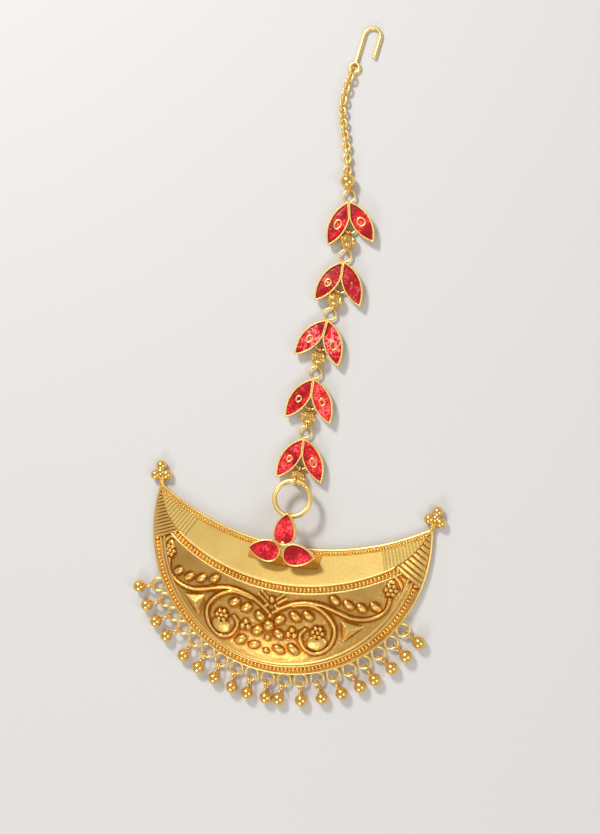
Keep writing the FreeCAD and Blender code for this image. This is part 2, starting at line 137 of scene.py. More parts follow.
def plate_sizes():
    """The crescent's sizes in millimetres, with those that follow from them."""
    p = bpy.context.scene.tikka_plate
    g = SimpleNamespace(outer=p.outer_radius / MM, bay_depth=p.bay_depth / MM, rise=p.horn_rise,
                        edge=p.edge_height / MM, sheet=p.sheet / MM, knuckle=p.knuckle_radius / MM,
                        crown=p.crown_radius / MM, slope=p.edge_slope, band=math.tan(p.band_slope),
                        band_angle=p.band_slope, relief=p.relief)
    w = bpy.context.scene.tikka_wires
    g.loop_ring = g.outer + w.loop_out / MM
    g.centre_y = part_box("crescent")[0].y / MM + g.loop_ring + (w.loop_radius + w.loop_wire) / MM
    g.horn_x = g.outer * math.cos(g.rise)
    g.horn_y = g.outer * math.sin(g.rise)
    g.bay = (g.horn_x ** 2 + g.bay_depth ** 2) / (2 * g.bay_depth)
    g.bay_y = g.horn_y - g.bay_depth + g.bay
    g.bay_half = math.asin(g.horn_x / g.bay)
    g.knuckle_x = g.outer - g.knuckle * math.sin(g.slope)
    g.knuckle_z = g.edge - g.knuckle * math.cos(g.slope)
    g.crown_z = g.knuckle_z - math.sqrt((g.crown - g.knuckle) ** 2 - g.knuckle_x ** 2)
    return g


def dome_height(g, radius, inset=0.0):
    """Height of the dome at a distance from its axis, or of the surface that lies inset inside it."""
    radius = np.asarray(radius, float)
    crown, knuckle = g.crown - inset, g.knuckle - inset
    join = g.knuckle_x * crown / (g.crown - g.knuckle)
    on_crown = g.crown_z + np.sqrt(np.maximum(crown ** 2 - radius ** 2, 0))
    on_knuckle = g.knuckle_z + np.sqrt(np.maximum(knuckle ** 2 - (radius - g.knuckle_x) ** 2, 0))
    return np.where(radius < join, on_crown, on_knuckle)


def band_height(g, x, y, inset=0.0):
    """Height of the sloping inner band above a place, or of the surface that lies inset under it."""
    reach = np.hypot(x, np.asarray(y) - g.bay_y)
    return g.edge + (reach - g.bay) * g.band - inset / math.cos(g.band_angle)


# ---------------------------------------------------------------- making pieces

def finished(piece, slot, *nodes):
    """Hides the CAD nodes a piece stands for and puts it on the root body; the slot is not used."""
    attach(piece, "root")
    if nodes:
        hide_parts(*nodes)
    return piece


def piece_from(name, points, faces, materials, sharp=40.0, face_materials=None, centre_y=0.0):
    """New mesh object of points in millimetres, smooth but for edges sharper than an angle in degrees."""
    mesh = bpy.data.meshes.new(name)
    placed = (np.asarray(points, float) + (0, centre_y, 0)) * MM
    mesh.from_pydata(placed.tolist(), [], faces)
    for material in materials:
        mesh.materials.append(material)
    if face_materials is not None:
        mesh.polygons.foreach_set("material_index", np.asarray(face_materials, np.int32))
    mesh.polygons.foreach_set("use_smooth", np.ones(len(mesh.polygons), bool))
    mesh.set_sharp_from_angle(angle=math.radians(sharp))
    mesh.validate()
    piece = bpy.data.objects.new(name, mesh)
    bpy.context.scene.collection.objects.link(piece)
    return piece


def outward(piece):
    """Turns every face of a closed piece outwards."""
    work = bmesh.new()
    work.from_mesh(piece.data)
    bmesh.ops.recalc_face_normals(work, faces=work.faces)
    work.to_mesh(piece.data)
    work.free()
    return piece


class Shapes:
    """Collects closed shapes, in millimetres, for one piece."""

    def __init__(self):
        self.points = []
        self.faces = []

    def add(self, points, faces):
        first = len(self.points)
        self.points.extend([tuple(p) for p in points])
        self.faces.extend([tuple(first + i for i in face) for face in faces])

    def grid(self, rings, closed_across=True, closed_along=True):
        """Faces between neighbouring rings of points; open ends get a flat cap."""
        count = len(rings[0])
        faces = []
        last = len(rings) if closed_along else len(rings) - 1
        for i in range(last):
            j = (i + 1) % len(rings)
            for k in range(count if closed_across else count - 1):
                m = (k + 1) % count
                faces.append((i * count + k, j * count + k, j * count + m, i * count + m))
        if not closed_along:
            faces.append(tuple(reversed(range(count))))
            faces.append(tuple((len(rings) - 1) * count + k for k in range(count)))
        self.add([p for ring in rings for p in ring], faces)

    def torus(self, centre, axis, ring_radius, wire_radius, around=32, across=10, squeeze=1.0):
        turn = Vector(axis).to_track_quat("Z", "Y").to_matrix()
        rings = []
        for i in range(around):
            a = 2 * math.pi * i / around
            ring = []
            for k in range(across):
                b = 2 * math.pi * k / across
                reach = ring_radius + wire_radius * math.cos(b)
                local = Vector((reach * math.cos(a), reach * math.sin(a) * squeeze, wire_radius * math.sin(b)))
                ring.append(Vector(centre) + turn @ local)
            rings.append(ring)
        self.grid(rings)

    def ball(self, centre, radius, around=28, stacks=14):
        points = [Vector((0, 0, radius))]
        for i in range(1, stacks):
            a = math.pi * i / stacks
            points += [Vector((radius * math.sin(a) * math.cos(b), radius * math.sin(a) * math.sin(b),
                               radius * math.cos(a))) for b in [2 * math.pi * k / around for k in range(around)]]
        points.append(Vector((0, 0, -radius)))
        faces = [(0, 1 + k, 1 + (k + 1) % around) for k in range(around)]
        for i in range(stacks - 2):
            for k in range(around):
                m = (k + 1) % around
                a, b = 1 + i * around, 1 + (i + 1) * around
                faces.append((a + k, b + k, b + m, a + m))
        low = 1 + (stacks - 2) * around
        faces += [(len(points) - 1, low + (k + 1) % around, low + k) for k in range(around)]
        self.add([Vector(centre) + p for p in points], faces)

    def bar(self, start, end, radius, end_radius=None, around=16):
        start, end = Vector(start), Vector(end)
        turn = (end - start).to_track_quat("Z", "Y").to_matrix()
        rings = []
        for at, r in ((start, radius), (end, radius if end_radius is None else end_radius)):
            rings.append([at + turn @ Vector((r * math.cos(a), r * math.sin(a), 0))
                          for a in [2 * math.pi * k / around for k in range(around)]])
        self.grid(rings, closed_along=False)

    def slab(self, outline, bottom, top):
        count = len(outline)
        points = [(x, y, bottom) for x, y in outline] + [(x, y, top) for x, y in outline]
        faces = [tuple(reversed(range(count))), tuple(range(count, 2 * count))]
        faces += [(k, (k + 1) % count, count + (k + 1) % count, count + k) for k in range(count)]
        self.add(points, faces)

    def fence(self, path, profile, closed=True):
        """Wall along a flat path; the profile is a closed outline of sideways and upward distances."""
        path = [Vector(p) for p in path]
        rings = []
        for i, at in enumerate(path):
            before = path[i - 1] if closed or i else None
            after = path[(i + 1) % len(path)] if closed or i < len(path) - 1 else None
            ways = [(b - a).normalized() for a, b in ((before, at), (at, after)) if a is not None and b is not None]
            way = sum(ways, Vector((0, 0))).normalized()
            side = Vector((-way.y, way.x))
            stretch = min(1.6, 1 / max(0.3, way.dot(ways[0])))
            rings.append([(at.x + side.x * s * stretch, at.y + side.y * s * stretch, z) for s, z in profile])
        self.grid(rings, closed_along=closed)

    def moved(self, turn, shift):
        """Turns everything about the origin by an angle and moves it."""
        c, s = math.cos(turn), math.sin(turn)
        self.points = [(x * c - y * s + shift[0], x * s + y * c + shift[1], z + shift[2])
                       for x, y, z in self.points]
        return self

    def piece(self, name, materials, sharp=40.0, centre_y=0.0):
        return outward(piece_from(name, self.points, self.faces, materials, sharp, centre_y=centre_y))


def wall_profile(width, bottom, top, steps=7):
    """Outline of a thin wall with a round top edge."""
    half = width / 2
    crest = [(half * math.cos(a), top - half + half * math.sin(a))
             for a in [math.pi * k / steps for k in range(steps + 1)]]
    return [(half, bottom)] + crest + [(-half, bottom)]


def smooth_copy(name, node, material, slot, sharp=35.0):
    """The CAD node's own shape as a smooth, joined mesh."""
    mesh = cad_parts[node].data.copy()
    work = bmesh.new()
    work.from_mesh(mesh)
    bmesh.ops.remove_doubles(work, verts=work.verts, dist=1e-7)
    work.to_mesh(mesh)
    work.free()
    mesh.name = name
    mesh.materials.clear()
    mesh.materials.append(material)
    mesh.polygons.foreach_set("use_smooth", np.ones(len(mesh.polygons), bool))
    mesh.set_sharp_from_angle(angle=math.radians(sharp))
    piece = bpy.data.objects.new(name, mesh)
    bpy.context.scene.collection.objects.link(piece)
    return finished(piece, slot, node)


# ---------------------------------------------------------------- node trees for what repeats

def wired(tree, kind, inputs=None, **settings):
    """New node with its settings; its inputs, by name or number, are values or other nodes' sockets."""
    made = tree.nodes.new(kind)
    for key, value in settings.items():
        setattr(made, key, value)
    for key, value in (inputs or {}).items():
        if isinstance(value, bpy.types.NodeSocket):
            tree.links.new(value, made.inputs[key])
        else:
            made.inputs[key].default_value = value
    return made


def sockets(tree, side, rows):
    """Named inputs or outputs of a tree, each with its kind and maybe a default."""
    for label, kind, *default in rows:
        socket = tree.interface.new_socket(label, in_out=side, socket_type="NodeSocket" + kind)
        if default:
            socket.default_value = default[0]


def growing_tree(name, sizes):
    """Empty tree with a geometry input, named sizes and a material."""
    tree = bpy.data.node_groups.new(name, "GeometryNodeTree")
    sockets(tree, "INPUT", (("Geometry", "Geometry"), *sizes, ("Material", "Material")))
    sockets(tree, "OUTPUT", (("Geometry", "Geometry"),))
    return tree, tree.nodes.new("NodeGroupInput").outputs


def tree_end(tree, entry, geometry):
    """Realize Instances, smooth shading and Set Material, which end every tree."""
    real = wired(tree, "GeometryNodeRealizeInstances", {0: geometry})
    smooth = wired(tree, "GeometryNodeSetShadeSmooth", {"Geometry": real.outputs[0]})
    finish = wired(tree, "GeometryNodeSetMaterial",
                   {"Geometry": smooth.outputs[0], "Material": entry["Material"]})
    wired(tree, "NodeGroupOutput", {"Geometry": finish.outputs[0]})
    return tree


def path_of(tree, entry):
    return wired(tree, "GeometryNodeMeshToCurve", {"Mesh": entry["Geometry"]}).outputs[0]


def spaced(tree, entry, spacing):
    """The base mesh's edges as curves with points a spacing apart."""
    return wired(tree, "GeometryNodeResampleCurve", {"Curve": path_of(tree, entry), "Length": spacing},
                 mode="LENGTH").outputs[0]


def facing_along(tree):
    """Rotation that turns +X along a curve."""
    tangent = tree.nodes.new("GeometryNodeInputTangent")
    return wired(tree, "FunctionNodeAlignRotationToVector", {"Vector": tangent.outputs[0]}, axis="X").outputs[0]


def round_section(tree, resolution, radius):
    return wired(tree, "GeometryNodeCurvePrimitiveCircle",
                 {"Resolution": resolution, "Radius": radius}).outputs[0]


def tube(tree, curve, section, caps=True):
    return wired(tree, "GeometryNodeCurveToMesh", {"Curve": curve, "Profile Curve": section, "Fill Caps": caps}
                 ).outputs[0]


def granule_tree():
    """Balls in a row, stretched across it."""
    tree, entry = growing_tree("granule row", (("Spacing", "Float"), ("Radius", "Float"), ("Width", "Float")))
    points = spaced(tree, entry, entry["Spacing"])
    ball = wired(tree, "GeometryNodeMeshIcoSphere", {"Radius": entry["Radius"], "Subdivisions": 2})
    scale = wired(tree, "ShaderNodeCombineXYZ", {"X": 1.0, "Y": entry["Width"], "Z": entry["Width"]})
    placed = wired(tree, "GeometryNodeInstanceOnPoints",
                   {"Points": points, "Instance": ball.outputs[0], "Rotation": facing_along(tree),
                    "Scale": scale.outputs[0]})
    return tree_end(tree, entry, placed.outputs[0])


def wire_tree():
    tree, entry = growing_tree("round wire", (("Radius", "Float"),))
    return tree_end(tree, entry, tube(tree, path_of(tree, entry), round_section(tree, 10, entry["Radius"])))


TWIST_STEPS = 9         # points in one turn of a strand


def twisted_tree():
    """Two strands wound about a path."""
    tree, entry = growing_tree("twisted wire", (("Radius", "Float"), ("Pitch", "Float")))
    step = wired(tree, "ShaderNodeMath", {0: entry["Pitch"], 1: TWIST_STEPS}, operation="DIVIDE")
    path = spaced(tree, entry, step.outputs[0])
    along = tree.nodes.new("GeometryNodeSplineParameter")
    turns = wired(tree, "ShaderNodeMath", {0: along.outputs["Length"], 1: entry["Pitch"]}, operation="DIVIDE")
    section = round_section(tree, 6, entry["Radius"])
    normal = tree.nodes.new("GeometryNodeInputNormal").outputs[0]
    tangent = tree.nodes.new("GeometryNodeInputTangent").outputs[0]
    both = tree.nodes.new("GeometryNodeJoinGeometry")
    for start in (0.0, math.pi):
        angle = wired(tree, "ShaderNodeMath", {0: turns.outputs[0], 1: 2 * math.pi, 2: start},
                      operation="MULTIPLY_ADD")
        swing = wired(tree, "ShaderNodeVectorRotate",
                      {"Vector": normal, "Axis": tangent, "Angle": angle.outputs[0]}, rotation_type="AXIS_ANGLE")
        reach = wired(tree, "ShaderNodeVectorMath", {0: swing.outputs[0], "Scale": entry["Radius"]},
                      operation="SCALE")
        strand = wired(tree, "GeometryNodeSetPosition", {"Geometry": path, "Offset": reach.outputs[0]})
        tree.links.new(tube(tree, strand.outputs[0], section), both.inputs[0])
    return tree_end(tree, entry, both.outputs[0])


def set_out_tree():
    """A shape set at every point, turned about +Z by the point's own angle."""
    tree, entry = growing_tree("set out", (("Shape", "Object"),))
    shape = wired(tree, "GeometryNodeObjectInfo", {"Object": entry["Shape"]})
    turn = wired(tree, "GeometryNodeInputNamedAttribute", {"Name": "turn"}, data_type="FLOAT")
    euler = wired(tree, "ShaderNodeCombineXYZ", {"Z": turn.outputs["Attribute"]})
    placed = wired(tree, "GeometryNodeInstanceOnPoints",
                   {"Points": entry["Geometry"], "Instance": shape.outputs["Geometry"],
                    "Rotation": euler.outputs[0]})
    return tree_end(tree, entry, placed.outputs[0])


LINK_NARROW = 0.78                      # a link's width as a share of its length
LINK_TURN, FIRST_LINK = 87, 8           # turn of each link from the one before, and of the first, in degrees


def chain_tree():
    """Oval links set along a path, each turned about a quarter from the one before."""
    tree, entry = growing_tree("link chain", (("Link", "Float"), ("Wire", "Float"), ("Spacing", "Float")))
    points = spaced(tree, entry, entry["Spacing"])
    oval = wired(tree, "GeometryNodeTransform",
                 {"Geometry": round_section(tree, 20, entry["Link"]), "Scale": (1.0, LINK_NARROW, 1.0)})
    link = tube(tree, oval.outputs[0], round_section(tree, 8, entry["Wire"]), False)
    count = tree.nodes.new("GeometryNodeInputIndex")
    quarter = wired(tree, "ShaderNodeMath",
                    {0: count.outputs[0], 1: math.radians(LINK_TURN), 2: math.radians(FIRST_LINK)},
                    operation="MULTIPLY_ADD")
    roll = wired(tree, "ShaderNodeCombineXYZ", {"X": quarter.outputs[0]})
    turned = wired(tree, "FunctionNodeRotateRotation",
                   {"Rotation": facing_along(tree), "Rotate By": roll.outputs[0]}, rotation_space="LOCAL")
    placed = wired(tree, "GeometryNodeInstanceOnPoints",
                   {"Points": points, "Instance": link, "Rotation": turned.outputs[0]})
    return tree_end(tree, entry, placed.outputs[0])


def tree_named(name, make):
    return bpy.data.node_groups.get(name) or make()


def grow(name, tree, base, values, material):
    """Runs a tree on a base mesh and returns the result as a plain mesh object."""
    holder = bpy.data.objects.new(name + "_base", base)
    bpy.context.scene.collection.objects.link(holder)
    modifier = holder.modifiers.new("grow", "NODES")
    modifier.node_group = tree
    inputs = {item.name: item.identifier for item in tree.interface.items_tree
              if item.item_type == "SOCKET" and item.in_out == "INPUT"}
    for label, value in {**values, "Material": material}.items():
        modifier[inputs[label]] = value
    holder.update_tag()
    graph = bpy.context.evaluated_depsgraph_get()
    mesh = bpy.data.meshes.new_from_object(holder.evaluated_get(graph))
    holder.modifiers.remove(modifier)
    bpy.data.objects.remove(holder)
    if not mesh.polygons:
        raise RuntimeError(name + " came out empty")
    mesh.name = name
    piece = bpy.data.objects.new(name, mesh)
    bpy.context.scene.collection.objects.link(piece)
    return piece


def path_mesh(*paths, closed=False, centre_y=0.0):
    """Mesh of edges along paths of points in millimetres."""
    points, edges = [], []
    for path in paths:
        first = len(points)
        points += [(x * MM, (y + centre_y) * MM, z * MM) for x, y, z in path]
        edges += [(first + i, first + i + 1) for i in range(len(path) - 1)]
        if closed:
            edges.append((len(points) - 1, first))
    mesh = bpy.data.meshes.new("path")
    mesh.from_pydata(points, edges, [])
    return mesh


def curve_through(points, steps=8):
    """Smooth line through given points, with some steps between each two."""
    points = [np.asarray(p, float) for p in points]
    padded = [2 * points[0] - points[1]] + points + [2 * points[-1] - points[-2]]
    line = []
    for a, b, c, d in zip(padded, padded[1:], padded[2:], padded[3:]):
        for k in range(steps):
            t = k / steps
            line.append(0.5 * (2 * b + (c - a) * t + (2 * a - 5 * b + 4 * c - d) * t ** 2
                               + (3 * b - a - 3 * c + d) * t ** 3))
    line.append(points[-1])
    return np.array(line)


# ---------------------------------------------------------------- the chased pattern
# Places are in millimetres from the centre of the crescent's outer arc, for the right half.
# The left half mirrors them. Sizes of bosses: place, long and short half width, angle, height.

PATTERN_AT = (-0.6, 0.4)
OUTER_SCROLL = ((0.6, -20.4), (2.8, -18.8), (5.4, -17.4), (8.4, -16.6), (11.6, -16.4), (14.6, -16.9),
                (17.6, -17.8), (20.7, -18.5), (23.6, -18.2), (26.1, -17.2), (27.8, -15.6), (28.5, -13.8),
                (28.6, -12.2))
SPIRAL = ((5.4, -17.7), (10.0, -16.9), (13.8, -18.5), (16.2, -21.4), (16.4, -24.3), (15.2, -27.0),
          (12.6, -28.9), (9.9, -28.3), (8.3, -26.3), (8.2, -24.4), (9.2, -23.2))
FIELD_ARCH = ((27.4, -6.2), (29.4, -6.7), (30.9, -8.6), (31.7, -11.0))
BOSSES = (
    (0.0, -23.9, 1.35, 1.35, 0, 0.85), (2.5, -21.9, 1.45, 1.05, 38, 0.7), (2.75, -25.6, 1.45, 1.05, -32, 0.7),
    (0.0, -21.3, 0.62, 0.62, 0, 0.5), (0.0, -27.0, 0.7, 0.7, 0, 0.5),
    (6.3, -20.4, 1.55, 0.95, -32, 0.7), (9.5, -19.6, 1.5, 0.9, -30, 0.7),
    (6.8, -28.8, 1.65, 1.05, -35, 0.7), (3.2, -29.5, 1.6, 0.95, -22, 0.65), (0.0, -30.4, 0.75, 0.65, 0, 0.5),
    (15.5, -14.7, 1.5, 0.8, -35, 0.65), (19.0, -15.3, 1.5, 0.8, -35, 0.65), (22.3, -15.5, 1.5, 0.8, -35, 0.65),
    (25.5, -14.7, 1.5, 0.8, -35, 0.6), (0.0, -17.3, 0.85, 0.65, 90, 0.6),
    (12.4, -26.2, 2.5, 1.9, 15, 0.4), (28.4, -8.6, 1.5, 0.9, 60, 0.35))
FLORETS = ((5.95, -24.8, 0.85, 0.72, 0.6),)
CLUSTERS = ((12.4, -23.5, 1.2, 0.62, 0.75), (28.7, -10.0, 1.15, 0.6, 0.55))
PYRAMID = ((17.6, -19.4), (23.4, -20.1), (18.8, -24.8))
PYRAMID_TOP = (19.8, -21.6, 1.15)
CHEVRONS = (((1.2, -16.9), (2.8, -15.5)), ((1.5, -17.9), (3.6, -16.4)), ((0.9, -18.6), (2.0, -19.6)))


def line_distance(x, y, line):
    """Distance of places from a line of points."""
    best = np.full(x.shape, 1e9)
    for (ax, ay), (bx, by) in zip(line, line[1:]):
        dx, dy = bx - ax, by - ay
        t = np.clip(((x - ax) * dx + (y - ay) * dy) / (dx * dx + dy * dy), 0, 1)
        best = np.minimum(best, np.hypot(x - ax - t * dx, y - ay - t * dy))
    return best


def round_ridge(distance, half_width, height):
    return height * np.sqrt(np.clip(1 - (distance / half_width) ** 2, 0, 1))


def boss_height(x, y, cx, cy, long_half, short_half, degrees, height):
    a = math.radians(degrees)
    u = (x - cx) * math.cos(a) + (y - cy) * math.sin(a)
    v = (y - cy) * math.cos(a) - (x - cx) * math.sin(a)
    return round_ridge(np.sqrt((u / long_half) ** 2 + (v / short_half) ** 2), 1.0, height)


def pyramid_height(x, y):
    tx, ty, top = PYRAMID_TOP
    height = np.full(x.shape, top)
    for (ax, ay), (bx, by) in zip(PYRAMID, PYRAMID[1:] + PYRAMID[:1]):
        inside = lambda px, py: (bx - ax) * (py - ay) - (by - ay) * (px - ax)
        height = np.minimum(height, top * inside(x, y) / inside(tx, ty))
    return np.maximum(height, 0)


def field_relief(x, y):
    """Height of the chased pattern over the dome."""
    x, y = x - PATTERN_AT[0], y - PATTERN_AT[1]
    side = np.abs(x)
    height = round_ridge(line_distance(side, y, curve_through(OUTER_SCROLL, 4)), 0.42, 0.5)
    for line, half, rise in ((curve_through(SPIRAL, 5), 0.44, 0.5), (curve_through(FIELD_ARCH, 4), 0.4, 0.4)):
        height = np.maximum(height, round_ridge(line_distance(side, y, line), half, rise))
    for line in CHEVRONS:
        height = np.maximum(height, round_ridge(line_distance(side, y, line), 0.26, 0.28))
    for cx, cy, long_half, short_half, angle, rise in BOSSES:
        height = np.maximum(height, boss_height(side, y, cx, cy, long_half, short_half, angle, rise))
    for cx, cy, reach, half, rise in FLORETS:
        for angle in (90, 210, 330):
            a = math.radians(angle)
            height = np.maximum(height, boss_height(side, y, cx + reach * math.cos(a), cy + reach * math.sin(a),
                                                    half, half, 0, rise))
    for cx, cy, reach, half, rise in CLUSTERS:
        pit = np.hypot(side - cx, y - cy) < reach + half * 0.9
        height = np.where(pit, height * 0.25, height)
        for k in range(7):
            a = math.radians(60 * k)
            r = reach if k < 6 else 0
            height = np.maximum(height, boss_height(side, y, cx + r * math.cos(a), cy + r * math.sin(a),
                                                    half, half, 0, rise))
    return np.maximum(height, pyramid_height(side, y))


HORN_LINES = ((24.0, 7.8), (35.0, 15.8))    # slope in degrees and height at the middle, left and right


def horn_place(x, y):
    """Distance above the line where the ribbed horn panels begin."""
    left, right = [(y + np.abs(x) * math.tan(math.radians(slope)) - start) * math.cos(math.radians(slope))
                   for slope, start in HORN_LINES]
    return np.where(x < 0, left, right)


BAND_RIB_START = math.radians(21)


def ground_texture(x, y):
    """Faint dapple on the ground of the field: soft lumps of three sizes, at places set by a fixed seed."""
    random = np.random.default_rng(11)
    height = np.zeros(x.shape)
    for size, rise in ((2.6, 0.016), (1.1, 0.010), (0.55, 0.008)):
        lumps = random.uniform(-1, 1, (int(90 / size) + 3, int(60 / size) + 3))
        u, v = (x + 44) / size, (y + 44) / size
        i, j = np.floor(u).astype(int), np.floor(v).astype(int)
        i, j = np.clip(i, 0, lumps.shape[0] - 2), np.clip(j, 0, lumps.shape[1] - 2)
        s, t = np.clip(u - i, 0, 1), np.clip(v - j, 0, 1)
        s, t = s * s * (3 - 2 * s), t * t * (3 - 2 * t)
        height += rise * ((lumps[i, j] * (1 - s) + lumps[i + 1, j] * s) * (1 - t)
                          + (lumps[i, j + 1] * (1 - s) + lumps[i + 1, j + 1] * s) * t)
    return height


def rib_profile(phase, power):
    """0 in the grooves and 1 on the flat tops of ribs, one for each whole number of phase."""
    return 1 - np.abs(2 * (phase - np.floor(phase)) - 1) ** power


def horn_relief(x, y, from_edge, from_ridge):
    """Ribs on the fronts of the horns: fine on the left, broad on the right."""
    place = horn_place(x, y)
    ribs = np.where(x < 0, rib_profile(place / 0.85, 2.5), rib_profile(place / 1.25, 5.0))
    fade = np.clip((from_edge - 0.3) / 0.3, 0, 1) * np.clip((from_ridge - 0.1) / 0.2, 0, 1)
    return 0.42 * ribs * fade * np.clip(place / 0.3, 0, 1)


def band_relief(g, x, y):
    """Soft ribs across the band near the horns."""
    angle = np.arctan2(np.abs(x), g.bay_y - y)
    ribs = rib_profile((angle - BAND_RIB_START) * g.bay / 0.85, 2.5)
    return 0.24 * ribs * np.clip((angle - BAND_RIB_START) * g.bay / 0.3, 0, 1)


# ---------------------------------------------------------------- materials

def gold_effect():
    """Uneven gold: bright and deep colour by a mask of painted shade, fine grain, soft stains and scuffs."""
    if "gold finish" in bpy.data.node_groups:
        return bpy.data.node_groups["gold finish"]
    tree = bpy.data.node_groups.new("gold finish", "ShaderNodeTree")
    sockets(tree, "INPUT", (("Bright", "Color", (0.9, 0.6, 0.2, 1)), ("Deep", "Color", (0.5, 0.2, 0.02, 1)),
                            ("Height mask", "Float", 1.0), ("Grain size", "Float", 900.0),
                            ("Roughness", "Float", 0.25), ("Roughness spread", "Float", 0.12),
                            ("Stain", "Float", 0.25)))
    sockets(tree, "OUTPUT", (("Colour", "Color"), ("Roughness", "Float"), ("Height", "Float")))
    entry = tree.nodes.new("NodeGroupInput").outputs
    place = tree.nodes.new("ShaderNodeTexCoord").outputs["Object"]
    grain = wired(tree, "ShaderNodeTexNoise", {"Vector": place, "Scale": entry["Grain size"], "Detail": 4})
    cloud = wired(tree, "ShaderNodeTexNoise", {"Vector": place, "Scale": 160, "Detail": 3})
    stain = wired(tree, "ShaderNodeMapRange", {"Value": cloud.outputs[0], "From Min": 0.42, "From Max": 0.72})
    stained = wired(tree, "ShaderNodeMath", {0: stain.outputs[0], 1: entry["Stain"]}, operation="MULTIPLY")
    left = wired(tree, "ShaderNodeMath", {0: entry["Height mask"], 1: stained.outputs[0]},
                 operation="SUBTRACT", use_clamp=True)
    blend = wired(tree, "ShaderNodeMix", {"Factor": left.outputs[0], 6: entry["Deep"], 7: entry["Bright"]},
                  data_type="RGBA")
    spread = wired(tree, "ShaderNodeMath",
                   {0: grain.outputs[0], 1: entry["Roughness spread"], 2: entry["Roughness"]},
                   operation="MULTIPLY_ADD")
    wired(tree, "NodeGroupOutput", {"Colour": blend.outputs[2], "Roughness": spread.outputs[0],
                                    "Height": grain.outputs[0]})
    return tree


def new_material(name):
    """Material with its node tree and its Principled BSDF."""
    material = bpy.data.materials.new(name)
    material.use_nodes = True
    return material, material.node_tree, material.node_tree.nodes["Principled BSDF"]


def finish_with(tree, surface, effect, bump, depth):
    """Joins an effect's colour and height to the surface."""
    tree.links.new(effect.outputs["Colour"], surface.inputs["Base Color"])
    rough = wired(tree, "ShaderNodeBump",
                  {"Strength": bump, "Distance": depth, "Height": effect.outputs["Height"]})
    tree.links.new(rough.outputs[0], surface.inputs["Normal"])


def gold(name, bright, deep, roughness, spread, grain, bump, stain, mask=None):
    """Gold material from the shared effect; mask names a point attribute of painted shade, 0 in hollows and 1 on
    crests.
    """
    if name in bpy.data.materials:
        return bpy.data.materials[name]
    material, tree, surface = new_material(name)
    surface.inputs["Metallic"].default_value = 1.0
    effect = wired(tree, "ShaderNodeGroup",
                   {"Bright": (*bright, 1), "Deep": (*deep, 1), "Roughness": roughness,
                    "Roughness spread": spread, "Grain size": grain, "Stain": stain}, node_tree=gold_effect())
    if mask:
        height = wired(tree, "ShaderNodeAttribute", attribute_name=mask)
        tree.links.new(height.outputs["Fac"], effect.inputs["Height mask"])
    tree.links.new(effect.outputs["Roughness"], surface.inputs["Roughness"])
    finish_with(tree, surface, effect, bump, 0.0002)
    return material


def finishes():
    f = bpy.context.scene.tikka_finish
    bright, deep, satin = tuple(f.gold_bright), tuple(f.gold_shade_and_stain), tuple(f.gold_satin)
    return SimpleNamespace(
        # The chased field takes painted shade from the crest attribute.
        field=gold("chased gold with painted shade", bright, deep, 0.27, 0.16, 1500.0, 0.5, 0.22, mask="crest"),
        band=gold("satin band", satin, deep, 0.52, 0.14, 1600.0, 0.25, 0.12),
        back=gold("plain back", satin, deep, 0.38, 0.12, 1100.0, 0.3, 0.3),
        wire=gold("wire gold with painted highlight", tuple(f.wire_gold_with_painted_highlight), deep, 0.29, 0.14, 900.0, 0.12, 0.12),
        row=gold("granule gold", tuple(f.gold_row), deep, 0.2, 0.14, 700.0, 0.2, 0.3),
        bead=gold("polished bead", bright, deep, 0.15, 0.12, 700.0, 0.1, 0.2),
        # The backing strap's darker, more orange gold is painted shadow: the flower's shadow on the band.
        strap=gold("strap gold with painted shadow", (0.80, 0.36, 0.05), deep, 0.3, 0.1, 900.0, 0.2, 0.3))


